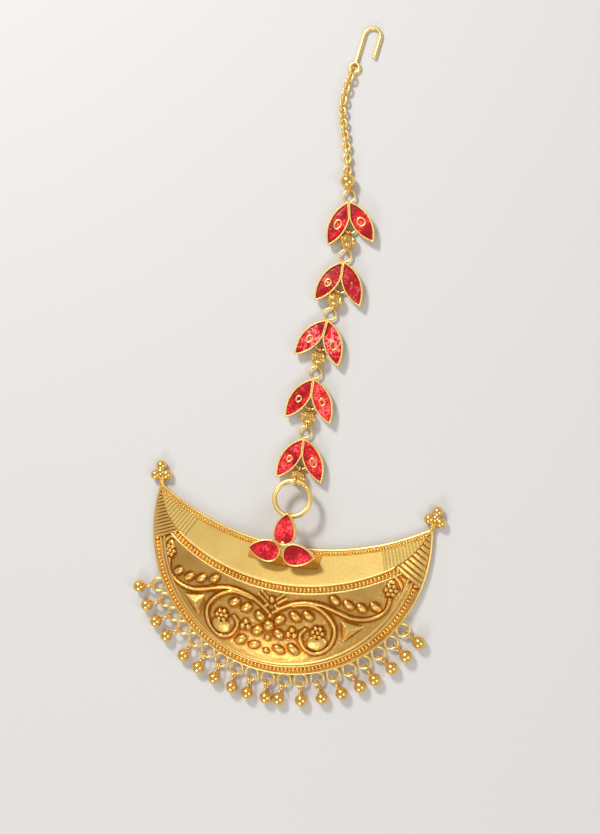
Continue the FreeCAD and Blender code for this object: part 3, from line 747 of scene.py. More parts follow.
def foil_with_painted_glints():
    """Crumpled foil seen through enamel: mottled depth, and painted glints of light along creases in patches."""
    if "foil" in bpy.data.node_groups:
        return bpy.data.node_groups["foil"]
    tree = bpy.data.node_groups.new("foil", "ShaderNodeTree")
    sockets(tree, "INPUT", (("Bright", "Color", (0.7, 0.01, 0.03, 1)), ("Deep", "Color", (0.2, 0, 0.01, 1)),
                            ("Glint", "Color", (1, 0.4, 0.4, 1)), ("Glints", "Float", 0.5)))
    sockets(tree, "OUTPUT", (("Colour", "Color"), ("Height", "Float")))
    entry = tree.nodes.new("NodeGroupInput").outputs
    place = tree.nodes.new("ShaderNodeTexCoord").outputs["Object"]
    mottle = wired(tree, "ShaderNodeTexNoise", {"Vector": place, "Scale": 900, "Detail": 5, "Distortion": 1.2})
    drift = wired(tree, "ShaderNodeTexNoise", {"Vector": place, "Scale": 230, "Detail": 1})
    both = wired(tree, "ShaderNodeMath", {0: mottle.outputs[0], 1: drift.outputs[0]}, operation="ADD")
    depth = wired(tree, "ShaderNodeMapRange", {"Value": both.outputs[0], "From Min": 0.82, "From Max": 1.08})
    bent = wired(tree, "ShaderNodeVectorMath",
                 {0: mottle.outputs["Color"], 1: (0.0009, 0.0009, 0.0009), 2: place}, operation="MULTIPLY_ADD")
    glint_cells = wired(tree, "ShaderNodeTexVoronoi", {"Vector": bent.outputs[0], "Scale": 1100},
                   feature="DISTANCE_TO_EDGE")
    glint_lines = wired(tree, "ShaderNodeMapRange",
                 {"Value": glint_cells.outputs[0], "From Min": 0.0, "From Max": 0.12, "To Min": 1.0, "To Max": 0.0})
    glint_patches = wired(tree, "ShaderNodeMapRange", {"Value": both.outputs[0], "From Min": 1.0, "From Max": 1.14})
    # Painted glints: the glint colour goes along the creases, in the brighter patches.
    glint = wired(tree, "ShaderNodeMath", {0: glint_lines.outputs[0], 1: glint_patches.outputs[0]}, operation="MULTIPLY")
    amount = wired(tree, "ShaderNodeMath", {0: glint.outputs[0], 1: entry["Glints"]},
                   operation="MULTIPLY", use_clamp=True)
    body = wired(tree, "ShaderNodeMix", {"Factor": depth.outputs[0], 6: entry["Deep"], 7: entry["Bright"]},
                 data_type="RGBA")
    shine = wired(tree, "ShaderNodeMix", {"Factor": amount.outputs[0], 6: body.outputs[2], 7: entry["Glint"]},
                  data_type="RGBA")
    wired(tree, "NodeGroupOutput", {"Colour": shine.outputs[2], "Height": mottle.outputs[0]})
    return tree


ENAMEL_SURFACE = {"Metallic": 0.0, "Roughness": 0.3, "Specular IOR Level": 0.25, "Coat Weight": 0.35,
                  "Coat Roughness": 0.05}


def enamel(name, bright, deep, glint, glints):
    """Clear red enamel over foil with painted glints, and a glassy coat."""
    if name in bpy.data.materials:
        return bpy.data.materials[name]
    material, tree, surface = new_material(name)
    for label, value in ENAMEL_SURFACE.items():
        surface.inputs[label].default_value = value
    effect = wired(tree, "ShaderNodeGroup", {"Bright": (*bright, 1), "Deep": (*deep, 1), "Glint": (*glint, 1),
                                             "Glints": glints}, node_tree=foil_with_painted_glints())
    finish_with(tree, surface, effect, 0.4, 0.0003)
    return material


# ---------------------------------------------------------------- the crescent plate

COLUMNS = 560
BORDER_ROWS = 10
FIELD_ROWS = 118
BAND_ROWS = 22
BACK_ROWS = 12
BORDER_INSET = 2.9          # plain ground under the border wires and granules
BORDER_SPREAD = 0.34        # how much further in the field's edge and the inner wire lie at the horns
RIDGE_INSET = 2.6           # and under those beside the ridge
FIELD_FADE = 0.35           # width over which the pattern sinks to the plain ground
PAINTED_SHADE_DEPTH = 0.13         # depth below the surroundings at which the painted shade of a hollow is darkest


def column_ends(g, share, inset=0.0):
    """Where a column of the plate meets the outer and the inner edge; share runs from 0 to 1, left to right."""
    angle = -math.pi - g.rise + share * (math.pi + 2 * g.rise)
    swing = g.bay_half * (2 * share - 1)
    outer = np.stack([np.cos(angle), np.sin(angle)], -1) * (g.outer - inset)
    inner = np.stack([np.sin(swing), -np.cos(swing)], -1) * (g.bay + inset) + (0, g.bay_y)
    return outer, inner


def ridge_shares(g, outer, inner):
    """How far along each column the dome meets the band, from the outer edge."""
    low, high = np.zeros(len(outer)), np.ones(len(outer))
    for _ in range(40):
        middle = (low + high) / 2
        at = outer + (inner - outer) * middle[:, None]
        on_dome = dome_height(g, np.hypot(at[:, 0], at[:, 1])) < band_height(g, at[:, 0], at[:, 1])
        low, high = np.where(on_dome, middle, low), np.where(on_dome, high, middle)
    return (low + high) / 2


def plate_mesh(g):
    share = np.linspace(0, 1, COLUMNS + 1)
    outer, inner = column_ends(g, share)
    ridge = ridge_shares(g, outer, inner)
    span = np.hypot(*(inner - outer).T)
    border = np.minimum(BORDER_INSET / np.maximum(span, 1e-6), ridge * 0.5)
    rows = [outer + (inner - outer) * (border * k / BORDER_ROWS)[:, None] for k in range(BORDER_ROWS)]
    rows += [outer + (inner - outer) * (border + (ridge - border) * k / FIELD_ROWS)[:, None]
             for k in range(FIELD_ROWS)]
    rows += [outer + (inner - outer) * (ridge + (1 - ridge) * k / BAND_ROWS)[:, None]
             for k in range(BAND_ROWS + 1)]
    front = np.array(rows)
    x, y = front[..., 0], front[..., 1]
    radius = np.hypot(x, y)
    dome, band = dome_height(g, radius), band_height(g, x, y)
    from_edge = g.outer - radius
    from_ridge = (band - dome) / math.hypot(g.band, 0.6)
    border_at = BORDER_INSET * (1 + BORDER_SPREAD * (x / radius) ** 2)
    in_field = (np.clip((from_edge - border_at) / FIELD_FADE, 0, 1)
                * np.clip((from_ridge - RIDGE_INSET + 0.6) / FIELD_FADE, 0, 1))
    horn = horn_place(x, y)
    chased = (field_relief(x, y) + ground_texture(x, y)) * in_field * (horn < -0.2)
    ribbed = horn_relief(x, y, from_edge, from_ridge)
    on_dome = np.arange(len(rows))[:, None] < BORDER_ROWS + FIELD_ROWS
    relief = np.where(on_dome, chased * g.relief + ribbed, band_relief(g, x, y))
    height = np.minimum(dome, band) + relief
    height[0] = g.edge
    height[-1] = g.edge
    # Painted shade: blurring the pattern's height finds its hollows, and the gold there is mixed towards the deep
    # colour.
    soft = chased + 1.5 * ribbed
    for _ in range(10):
        soft[1:-1] = (soft[:-2] + soft[1:-1] + soft[2:]) / 3
        soft[:, 1:-1] = (soft[:, :-2] + soft[:, 1:-1] + soft[:, 2:]) / 3
    painted_hollow_shade = np.clip((soft - chased - 1.5 * ribbed) / PAINTED_SHADE_DEPTH, 0, 1)
    # crest holds the painted shade and light: the deep colour in hollows, a little of it on the plain ground, and
    # full brightness on the raised pattern and ribs.
    crest = np.where(on_dome, np.clip(0.72 + chased / 0.5 + ribbed / 0.6 - 1.25 * painted_hollow_shade, 0, 1), 1.0)
    # back: the same columns along the inside of the sheet
    back_outer, back_inner = column_ends(g, share, g.sheet)
    crossed = np.einsum("ij,ij->i", back_inner - back_outer, inner - outer) <= 1e-6
    middle = (outer + inner) / 2
    back_outer[crossed] = middle[crossed]
    back_inner[crossed] = middle[crossed]
    back = np.array([back_inner + (back_outer - back_inner) * (k / BACK_ROWS)
                     for k in range(BACK_ROWS + 1)])
    bx, by = back[..., 0], back[..., 1]
    back_dome, back_band = dome_height(g, np.hypot(bx, by), g.sheet), band_height(g, bx, by, g.sheet)
    back_z = np.maximum(np.minimum(back_dome, back_band), 0)
    back_z[:, crossed] = 0
    flat = np.zeros(len(outer))
    loops = [np.column_stack([outer, flat])]
    loops += [np.column_stack([front[k], height[k]]) for k in range(len(front))]
    loops += [np.column_stack([inner, flat]), np.column_stack([back_inner, flat])]
    loops += [np.column_stack([back[k], back_z[k]]) for k in range(len(back))]
    loops += [np.column_stack([back_outer, flat])]
    loops = np.array(loops)
    front_end = 1 + len(front)
    painted_shade_levels = np.ones(loops.shape[:2])
    painted_shade_levels[1:front_end] = crest
    count, wide = loops.shape[0], loops.shape[1]
    faces, kinds = [], []
    for k in range(count):
        m = (k + 1) % count
        kind = 0 if 1 <= k <= BORDER_ROWS + FIELD_ROWS else 1 if k < front_end - 1 and k > 0 else 2
        for i in range(wide - 1):
            faces.append((k * wide + i, k * wide + i + 1, m * wide + i + 1, m * wide + i))
            kinds.append(kind)
    return loops.reshape(-1, 3), faces, kinds, painted_shade_levels.reshape(-1)


class TIKKA_OT_plate(bpy.types.Operator):
    """Pressed crescent plate with its chased field, ribbed horns and plain band"""
    bl_idname = "tikka.plate"
    bl_label = "Crescent plate"

    def execute(self, context):
        g, f = plate_sizes(), finishes()
        points, faces, kinds, painted_shade_levels = plate_mesh(g)
        piece = piece_from("crescent_plate", points, faces, [f.field, f.band, f.back], 50.0, kinds, g.centre_y)
        # The crest attribute carries the painted shade to the field's colour.
        marks = piece.data.attributes.new("crest", "FLOAT", "POINT")
        marks.data.foreach_set("value", painted_shade_levels.astype(np.float32))
        work = bmesh.new()
        work.from_mesh(piece.data)
        bmesh.ops.remove_doubles(work, verts=work.verts, dist=2e-6)
        bmesh.ops.dissolve_degenerate(work, edges=work.edges, dist=1e-7)
        bmesh.ops.recalc_face_normals(work, faces=work.faces)
        work.to_mesh(piece.data)
        work.free()
        finished(piece, "gold", "crescent")
        return {"FINISHED"}


# ---------------------------------------------------------------- wires, granules and loops on the plate

def edge_path(g, inset, lift, low_share, high_share, count=160, spread=0.0):
    """Line beside the outer edge, on the dome; spread moves it further in towards the horns."""
    path = []
    for k in range(count + 1):
        share = low_share + (high_share - low_share) * k / count
        angle = -math.pi - g.rise + share * (math.pi + 2 * g.rise)
        radius = g.outer - inset * (1 + spread * math.cos(angle) ** 2)
        path.append((radius * math.cos(angle), radius * math.sin(angle), float(dome_height(g, radius)) + lift))
    return path


def bay_path(g, out, height, low_share, high_share, count=160):
    """Line beside the inner edge, on the band."""
    path = []
    for k in range(count + 1):
        swing = g.bay_half * (2 * (low_share + (high_share - low_share) * k / count) - 1)
        radius = g.bay + out
        path.append((radius * math.sin(swing), g.bay_y - radius * math.cos(swing), height))
    return path


def below_horns(line):
    """The part of a line that lies outside the ribbed horn panels."""
    return [at for at in line if horn_place(at[0], at[1]) < 0.1]


def ridge_path(g, inset, lift):
    """Line on the dome beside the ridge where the dome meets the band."""
    share = np.linspace(0, 1, 401)
    outer, inner = column_ends(g, share)
    ridge = ridge_shares(g, outer, inner)
    line = outer + (inner - outer) * ridge[:, None]
    way = np.gradient(line, axis=0)
    way /= np.maximum(np.hypot(*way.T), 1e-9)[:, None]
    moved = line + np.stack([way[:, 1], -way[:, 0]], -1) * inset
    return [(px, py, float(dome_height(g, math.hypot(px, py))) + lift) for px, py in moved[4:-4]]


# Rows and wires beside the outer edge: how far in, and how much further in at the horns.
GRANULES_IN = (1.25, 0.12)
OUTER_WIRE_IN = (2.12, 0.16)
INNER_WIRE_IN = (2.7, BORDER_SPREAD)
RIDGE_WIRES_IN, RIDGE_GRANULES_IN = (0.1, 2.1), 1.1     # the same beside the ridge
GRANULE_WIDTH = 1.5         # width of a granule across its row, as a share of its length
ROPE_OUT = 0.95             # twisted wire, from the inner edge


class TIKKA_OT_borders(bpy.types.Operator):
    """Wires, granule rows and the twisted wire soldered along the edges and the ridge of the crescent"""
    bl_idname = "tikka.borders"
    bl_label = "Border wires and granules"

    def execute(self, context):
        g, f, w = plate_sizes(), finishes(), context.scene.tikka_wires
        wire, row = tree_named("round wire", wire_tree), tree_named("granule row", granule_tree)
        twist = tree_named("twisted wire", twisted_tree)
        flat = [(x, y, g.edge) for x, y, _ in edge_path(g, 0.08, 0.0, 0, 1)]
        bay = bay_path(g, 0.11, g.edge, 0, 1)
        rims = grow("rim_wires", wire, path_mesh(flat, bay, centre_y=g.centre_y), {"Radius": w.rim_wire},
                    f.wire)
        finished(rims, "gold", "crescent")
        lines = [edge_path(g, inset, 0.1, 0, 1, 400, spread) for inset, spread in (OUTER_WIRE_IN, INNER_WIRE_IN)]
        lines += [ridge_path(g, inset, lift) for inset, lift in zip(RIDGE_WIRES_IN, (0.06, 0.08))]
        lines = [below_horns(line) for line in lines]
        finished(grow("border_wires", wire, path_mesh(*lines, centre_y=g.centre_y), {"Radius": w.fine_wire},
                      f.wire), "gold", "crescent")
        inset, spread = GRANULES_IN
        rows = [below_horns(line) for line in (edge_path(g, inset, 0.15, 0, 1, 400, spread),
                                               ridge_path(g, RIDGE_GRANULES_IN, 0.12))]
        finished(grow("granule_rows", row, path_mesh(*rows, centre_y=g.centre_y),
                      {"Spacing": w.granule_spacing, "Radius": w.granule, "Width": GRANULE_WIDTH}, f.row),
                 "gold", "crescent")
        rope = bay_path(g, ROPE_OUT, g.edge + ROPE_OUT * g.band + 0.1, 0.02, 0.98)
        finished(grow("twisted_wire", twist, path_mesh(rope, centre_y=g.centre_y),
                      {"Radius": 0.25 * MM, "Pitch": 1.5 * MM}, f.row), "gold", "crescent")
        return {"FINISHED"}


DROP_COUNT = 19
DROP_SWING = (-16, -12, -13, -15, 6, 7, 8, 11, 4, 5, -13, -1, 5, 9, 11, 3, 7, 5, 4)


def loop_places(g):
    """Centre and angle of each loop on the edge, from left to right, in millimetres and radians."""
    w = bpy.context.scene.tikka_wires
    pitch = (2 * w.drop_ball + w.drop_room) / MM / g.loop_ring
    angles = [(i - (DROP_COUNT - 1) / 2) * pitch for i in range(DROP_COUNT)]
    return [(g.loop_ring * math.sin(a), -g.loop_ring * math.cos(a), a) for a in angles]


class TIKKA_OT_loops(bpy.types.Operator):
    """Round loops soldered along the lower edge of the crescent"""
    bl_idname = "tikka.loops"
    bl_label = "Edge loops"

    def execute(self, context):
        g, f, w = plate_sizes(), finishes(), context.scene.tikka_wires
        ring = Shapes()
        ring.torus((0, 0, 0), (0, 0, 1), w.loop_radius / MM, 1.08 * w.loop_wire / MM, 40, 14)
        shape = ring.piece("loop_shape", [f.wire])
        places = path_mesh([(x, y, w.loop_height / MM) for x, y, _ in loop_places(g)], centre_y=g.centre_y)
        turns = places.attributes.new("turn", "FLOAT", "POINT")
        turns.data.foreach_set("value", np.array([a for _, _, a in loop_places(g)], np.float32))
        loops = grow("edge_loops", tree_named("set out", set_out_tree), places, {"Shape": shape}, f.wire)
        bpy.data.objects.remove(shape)
        finished(loops, "gold", "crescent")
        return {"FINISHED"}


TIP_ANGLES = (83, 195, 325)
TIP_BALL, TIP_CORE, TIP_SPREAD, TIP_BEYOND, TIP_LEAN = 1.35, 1.2, 1.65, 3.0, 0.6


class TIKKA_OT_horn_tips(bpy.types.Operator):
    """Three balls and a twisted collar on each horn point"""
    bl_idname = "tikka.horn_tips"
    bl_label = "Horn tips"

    def execute(self, context):
        g, f = plate_sizes(), finishes()
        for side, name in ((-1, "horn_tip_left"), (1, "horn_tip_right")):
            tips = Shapes()
            middle = Vector((side * (g.horn_x + TIP_LEAN), g.horn_y + TIP_BEYOND, TIP_BALL))
            root = Vector((side * (g.horn_x - TIP_LEAN / 2), g.horn_y - 1.5, 0.75))
            way = (middle - root).normalized()
            tips.ball(middle, TIP_CORE)
            tips.bar(root, middle, 0.72)
            for angle in TIP_ANGLES:
                a = math.radians(angle)
                tips.ball(middle + Vector((side * math.cos(a), math.sin(a), 0)) * TIP_SPREAD, TIP_BALL, 36, 18)
            for k in range(3):
                at = middle - way * (1.75 + 0.52 * k)
                tips.torus(at, way + Vector((0.12, 0.1, 0.0)), 0.62, 0.21, 30, 10)
            finished(tips.piece(name, [f.bead], centre_y=g.centre_y), "gold", "crescent")
        return {"FINISHED"}


class TIKKA_OT_drops(bpy.types.Operator):
    """Ball drops, each soldered to a ring that hangs in its loop"""
    bl_idname = "tikka.drops"
    bl_label = "Ball drops"

    def execute(self, context):
        g, f, w = plate_sizes(), finishes(), context.scene.tikka_wires
        ring, wire, ball = w.drop_ring / MM, w.drop_wire / MM, w.drop_ball / MM
        high = ring + wire
        loop, loop_wire = w.loop_radius / MM, w.loop_wire / MM
        reach = math.sqrt((ring - wire - loop_wire - w.drop_play / MM) ** 2 - (high - w.loop_height / MM) ** 2)
        for number, ((x, y, angle), swing) in enumerate(zip(loop_places(g), DROP_SWING), start=1):
            a = angle + math.radians(swing)
            way = Vector((math.sin(a), -math.cos(a), 0))
            ring_at = Vector((x, y, high)) + way * (loop + reach)
            at = ring_at + way * (high + ball - w.drop_seat / MM)
            at.z = ball
            made = Shapes()
            made.torus(ring_at, way.cross(Vector((0, 0, 1))), ring, wire, 32, 10)
            made.ball(at, ball, 36, 20)
            seat = at - way * (ball - 0.1)
            made.torus(seat, way, 0.42, 0.17, 20, 8)
            name = f"drop_{number:02d}"
            finished(made.piece("ball_" + name, [f.bead], centre_y=g.centre_y), "gold", name)
        return {"FINISHED"}


# ---------------------------------------------------------------- enamelled cells

def petal_outline(inset, steps=14):
    """Teardrop with its round end about the origin and its point towards +Y."""
    c = bpy.context.scene.tikka_cells
    radius, point = c.petal_radius / MM, c.petal_point / MM
    side = (radius ** 2 + point ** 2) / (2 * radius)
    across = side - radius
    r = side - inset
    half = math.acos(across / r)
    right = [(r * math.cos(half * k / steps) - across, r * math.sin(half * k / steps)) for k in range(steps)]
    tip = [(0.0, math.sqrt(r ** 2 - across ** 2))]
    left = [(-x, y) for x, y in reversed(right)]
    wide = radius - inset
    under = [(-wide * math.cos(a), -wide * math.sin(a))
             for a in [math.pi * k / (2 * steps) for k in range(1, 2 * steps)]]
    return right + tip + left + under


def leaf_outline(inset, steps=20):
    """Pointed oval with its upper point at the origin and its length towards -Y."""
    c = bpy.context.scene.tikka_cells
    half, wide = c.leaf_length / MM / 2, c.leaf_half_width / MM
    big = (half ** 2 + wide ** 2) / (2 * wide)
    r, across = big - inset, big - wide
    angle = math.acos(across / r)
    turns = [angle - 2 * angle * k / steps for k in range(steps + 1)]
    right = [(r * math.cos(a) - across, r * math.sin(a) - half) for a in turns]
    return right + [(-x, y) for x, y in reversed(right[1:-1])]


def turned_outline(outline, angle, shift=(0.0, 0.0)):
    c, s = math.cos(angle), math.sin(angle)
    return [(x * c - y * s + shift[0], x * s + y * c + shift[1]) for x, y in outline]


def cut_outline(outline, side, keep):
    """Part of a convex outline beyond a line parallel to the Y axis, on the left (-1) or right (1)."""
    cut = []
    for (ax, ay), (bx, by) in zip(outline, outline[1:] + outline[:1]):
        da, db = side * ax - keep, side * bx - keep
        if da >= 0:
            cut.append((ax, ay))
        if (da >= 0) != (db >= 0):
            t = da / (da - db)
            cut.append((ax + (bx - ax) * t, ay + (by - ay) * t))
    return cut


def even_outline(outline, count):
    """The same closed outline with evenly spaced points."""
    ring = np.array(outline + outline[:1])
    along = np.concatenate([[0], np.cumsum(np.hypot(*np.diff(ring, axis=0).T))])
    at = np.linspace(0, along[-1], count, endpoint=False)
    return list(zip(np.interp(at, along, ring[:, 0]), np.interp(at, along, ring[:, 1])))


def domed(shapes, outline, bottom, edge, rise, steps=9):
    """Closed filling with a softly swollen top."""
    ring = np.array(outline)
    middle = ring.mean(0)
    count = len(ring)
    points = [(x, y, bottom) for x, y in ring]
    faces = [tuple(reversed(range(count)))]
    for k in range(steps):
        t = k / steps
        points += [(x, y, edge + rise * (1 - (1 - t) ** 2.2)) for x, y in ring + (middle - ring) * t]
    points.append((middle[0], middle[1], edge + rise))
    for k in range(steps):
        for i in range(count):
            j = (i + 1) % count
            a = k * count
            faces.append((a + i, a + j, a + count + j, a + count + i))
    last = steps * count
    faces += [(last + i, last + (i + 1) % count, len(points) - 1) for i in range(count)]
    shapes.add(points, faces)


STRAP_HALF, STRAP_WIDE, STRAP_THICK = 9.1, 4.3, 0.3     # backing strap behind the flower; its darker gold paints the flower's shadow on the band
FLOWER_DEEP, FLOWER_FLOOR = 1.7, 0.5    # the flower from its back to its front, and the floor of its cells
PETAL_SINK = 0.42                       # edge of the petals' enamel, below the front
EYE_WIRE = 0.28
EYE_RADIUS = 0.65 + EYE_WIRE + 0.22     # round the big ring's wire, with room to swing


class TIKKA_OT_flower(bpy.types.Operator):
    """Three-petal flower: cells on a post with red enamel in them, and the eye that holds the big ring"""
    bl_idname = "tikka.flower"
    bl_label = "Flower"

    def execute(self, context):
        g, f, c = plate_sizes(), finishes(), context.scene.tikka_cells
        finish = context.scene.tikka_finish
        red = enamel("red enamel flower", finish.enamel_bright, finish.enamel_deep, finish.enamel_painted_glint, 0.4)
        wall, play = c.petal_wall / MM, c.wall_play / MM
        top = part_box("crescent")[1].z / MM
        back = top - FLOWER_DEEP
        floor = back + FLOWER_FLOOR
        radius, point = c.petal_radius / MM, c.petal_point / MM
        setting = Shapes()
        places = []
        for name in ("top", "left", "right"):
            low, high = [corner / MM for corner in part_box("flower_enamel_" + name)]
            if name == "top":
                x, y, turn = (low.x + high.x) / 2, low.y + (radius - wall - play), 0.0
            elif name == "left":
                x, y, turn = high.x - (radius - wall - play), (low.y + high.y) / 2, math.pi / 2
            else:
                x, y, turn = low.x + (radius - wall - play), (low.y + high.y) / 2, -math.pi / 2
            places.append((name, x, y, turn))
            setting.slab(turned_outline(petal_outline(0.02), turn, (x, y)), back, floor)
            ring = even_outline(turned_outline(petal_outline(wall / 2), turn, (x, y)), 84)
            setting.fence(ring, wall_profile(wall, back + 0.02, top))
        top_y, side_y = places[0][2], places[1][2]
        middle_y = side_y + radius / 2
        disc = [(radius / 2 * math.cos(a), middle_y + radius / 2 * math.sin(a))
                for a in [2 * math.pi * k / 36 for k in range(36)]]
        setting.slab(disc, back, floor)
        setting.ball((0, side_y + 2.35, floor + 0.25), 0.75)
        root = float(band_height(g, 0.0, side_y - g.centre_y)) - g.sheet
        strap = []
        for x in np.linspace(-STRAP_HALF, STRAP_HALF, 19):
            edge = g.bay_y - math.sqrt(g.bay ** 2 - x ** 2)
            span = [(x, y + g.centre_y, float(band_height(g, x, y))) for y in (edge - 0.5, edge - STRAP_WIDE)]
            strap.append(span + [(sx, sy, sz + STRAP_THICK) for sx, sy, sz in span[::-1]])
        backing = Shapes()
        backing.grid(strap, closed_along=False)
        finished(backing.piece("flower_strap", [f.strap], 50.0), "gold", "crescent")
        setting.bar((0, side_y, root), (0, side_y, back + 0.2), 1.1, around=28)
        eye_y, eye_z = top_y + point - 1.0, back + 0.18 - EYE_RADIUS - EYE_WIRE
        setting.torus((0, eye_y, eye_z), (1, 0, 0), EYE_RADIUS, EYE_WIRE, 32, 12)
        finished(setting.piece("flower_setting", [f.wire], 50.0), "gold", "crescent")
        for name, x, y, turn in places:
            filling = Shapes()
            outline = even_outline(turned_outline(petal_outline(wall + play), turn, (x, y)), 72)
            domed(filling, outline, floor, top - PETAL_SINK, c.enamel_rise / MM * 0.75)
            finished(filling.piece("enamel_petal_" + name, [red]), "red_enamel", "flower_enamel_" + name)
        return {"FINISHED"}


# Lean of each leaf pair, from the chain to the big ring, in degrees.
PAIR_TURNS = (11.5, 0.0, -7.0, 0.5, 1.5)
PAIR_RING, PAIR_RING_WIRE, PAIR_RING_HEIGHT = 1.5, 0.28, 1.0
TOP_RING_AT = 1.55
RING_PLAY, BEAD_ROOM = 0.18, 0.84       # between a ring and a bead's sphere, and between bead and leaves
CELL_FLOOR, LEAF_SINK = 0.4, 0.5        # floor of a cell, and edge of its enamel below the rim
MILLED_SPACING, MILLED_RADIUS = 0.46, 0.24
# Wire ovals on the enamel: pair, side, place along the leaf, across and half sizes.
LEAF_OVALS = ((1, "left", 0.52, 0.0, 0.8, 1.2), (1, "right", 0.50, 0.0, 0.9, 1.1),
              (2, "left", 0.54, 0.0, 0.7, 0.95), (2, "left", 0.54, 0.0, 0.34, 0.34),
              (2, "right", 0.48, 0.1, 0.24, 0.24),
              (3, "left", 0.54, 0.0, 0.7, 1.0), (3, "right", 0.55, 0.0, 0.78, 1.1),
              (4, "left", 0.52, 0.0, 0.62, 0.8), (4, "right", 0.52, 0.0, 0.66, 0.9),
              (5, "left", 0.52, 0.0, 0.6, 0.8), (5, "right", 0.54, 0.0, 0.8, 1.15))


def eye_out():
    """Distance from a bead's middle to the wire of the next pair's ring, in plan."""
    return math.sqrt((BEAD + PAIR_RING_WIRE + RING_PLAY) ** 2 - (BEAD - LINK_EYE - LINK_EYE_WIRE) ** 2)


def back_ring_at():
    """Place of a pair's lower ring along its middle line."""
    c = bpy.context.scene.tikka_cells
    half, wide = c.leaf_length / MM / 2, c.leaf_half_width / MM
    arc = (half ** 2 + wide ** 2) / (2 * wide)
    arc_x = arc - wide
    across = arc_x * math.cos(c.leaf_splay) + half * math.sin(c.leaf_splay)
    down = half * math.cos(c.leaf_splay) - arc_x * math.sin(c.leaf_splay)
    return PAIR_RING + eye_out() - (down + math.sqrt((arc + BEAD + BEAD_ROOM) ** 2 - across ** 2))


def pair_place(number, turn):
    """Shift that puts a pair, drawn about its upper point and turned, on its CAD node."""
    c = bpy.context.scene.tikka_cells
    points = []
    for side in (-1, 1):
        points += turned_outline(leaf_outline(0.0, 120), side * c.leaf_splay)
    reach = PAIR_RING + PAIR_RING_WIRE
    for y in (TOP_RING_AT, back_ring_at()):
        points += [(reach * math.cos(a), y + reach * math.sin(a))
                   for a in [math.pi * k / 90 for k in range(180)]]
    at = np.array(turned_outline(points, turn))
    low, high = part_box(f"leaf_frame_{number}")
    middle = (low + high) / 2 / MM
    mine = (at.min(0) + at.max(0)) / 2
    return middle.x - mine[0], middle.y - mine[1]


class TIKKA_OT_leaves(bpy.types.Operator):
    """Pairs of leaf cells with red enamel, each pair with two rings"""
    bl_idname = "tikka.leaves"
    bl_label = "Leaf pairs"

    def execute(self, context):
        f, c, finish = finishes(), context.scene.tikka_cells, context.scene.tikka_finish
        red = enamel("red enamel", finish.enamel_bright, finish.enamel_deep, finish.enamel_painted_glint, 0.6)
        # Pair 3's leaves get paler, denser painted glints, standing in for light reflected off them.
        pale = enamel("red enamel with painted sheen", finish.enamel_bright, finish.enamel_deep, (1.0, 0.7, 0.72), 0.85)
        dark = enamel("dark red enamel", tuple(0.6 * v for v in finish.enamel_bright), finish.enamel_deep,
                      finish.enamel_painted_glint, 0.4)
        wall, play = c.leaf_wall / MM, c.wall_play / MM
        rims = []
        for number, degrees in enumerate(PAIR_TURNS, start=1):
            turn = math.radians(degrees)
            shift = (*pair_place(number, turn), 0.0)
            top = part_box(f"leaf_frame_{number}")[1].z / MM
            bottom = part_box(f"leaf_enamel_{number}_left")[0].z / MM
            back = bottom - CELL_FLOOR
            cells = Shapes()
            fillings, edges = {}, []
            for side, name in ((-1, "left"), (1, "right")):
                splay = side * c.leaf_splay
                outer, inner, crest, clear = [
                    cut_outline(turned_outline(leaf_outline(inset, 40), splay), side, keep) for inset, keep in
                    ((0.02, 0.0), (wall / 2, 0.03), (wall * 0.42, 0.2), (wall + play, wall / 2 + play))]
                cells.slab(even_outline(outer, 90), back, bottom)
                cells.fence(even_outline(inner, 110), wall_profile(wall, back + 0.02, top))
                edges.append(even_outline(crest, 110))
                filling = Shapes()
                domed(filling, even_outline(clear, 80), bottom, top - LEAF_SINK, c.enamel_rise / MM)
                fillings[name] = (filling, splay)
            for y in (TOP_RING_AT, back_ring_at()):
                cells.torus((0, y, PAIR_RING_HEIGHT), (0, 0, 1), PAIR_RING, PAIR_RING_WIRE, 40, 12)
            for pair, name, along, across, half_x, half_y in LEAF_OVALS:
                if pair != number:
                    continue
                splay = fillings[name][1]
                x, y = turned_outline([(across, -along * c.leaf_length / MM)], splay)[0]
                oval = [(half_x * math.cos(a), half_y * math.sin(a)) for a in
                        [2 * math.pi * k / 30 for k in range(30)]]
                if half_x < 0.4:
                    cells.ball((x, y, top - half_x), half_x, 16, 10)
                else:
                    cells.fence(turned_outline(oval, splay, (x, y)), wall_profile(0.42, top - 0.7, top, 6))
            for inner in edges:
                rims.append([(x, y, top - 0.16) for x, y in turned_outline(inner, turn, shift[:2])])
            cells.moved(turn, shift)
            finished(cells.piece(f"leaf_cells_{number}", [f.wire], 50.0), "gold", f"leaf_frame_{number}")
            for name, (filling, _) in fillings.items():
                filling.moved(turn, shift)
                look = {(3, "left"): pale, (3, "right"): pale, (2, "left"): dark, (2, "right"): dark}.get(
                    (number, name), red)
                finished(filling.piece(f"enamel_leaf_{number}_{name}", [look]), "red_enamel",
                         f"leaf_enamel_{number}_{name}")
        milled = grow("milled_edges", tree_named("granule row", granule_tree), path_mesh(*rims, closed=True),
                      {"Spacing": MILLED_SPACING * MM, "Radius": MILLED_RADIUS * MM, "Width": 1.0}, f.wire)
        finished(milled, "gold", *[f"leaf_frame_{number}" for number in range(1, 6)])
        return {"FINISHED"}


# ---------------------------------------------------------------- ring, beads, chain and hook

# Lean of each bead link, from the chain to the big ring, in degrees.
BEAD_TURNS = (13.0, -1.5, -12.5, -3.5, -1.5, -3.5)
BEAD, LINK_EYE, LINK_EYE_WIRE = 1.85, 0.75, 0.25
BEAD_RIBS = 11
NECK_WIDE, NECK_NARROW = 0.62, 0.36


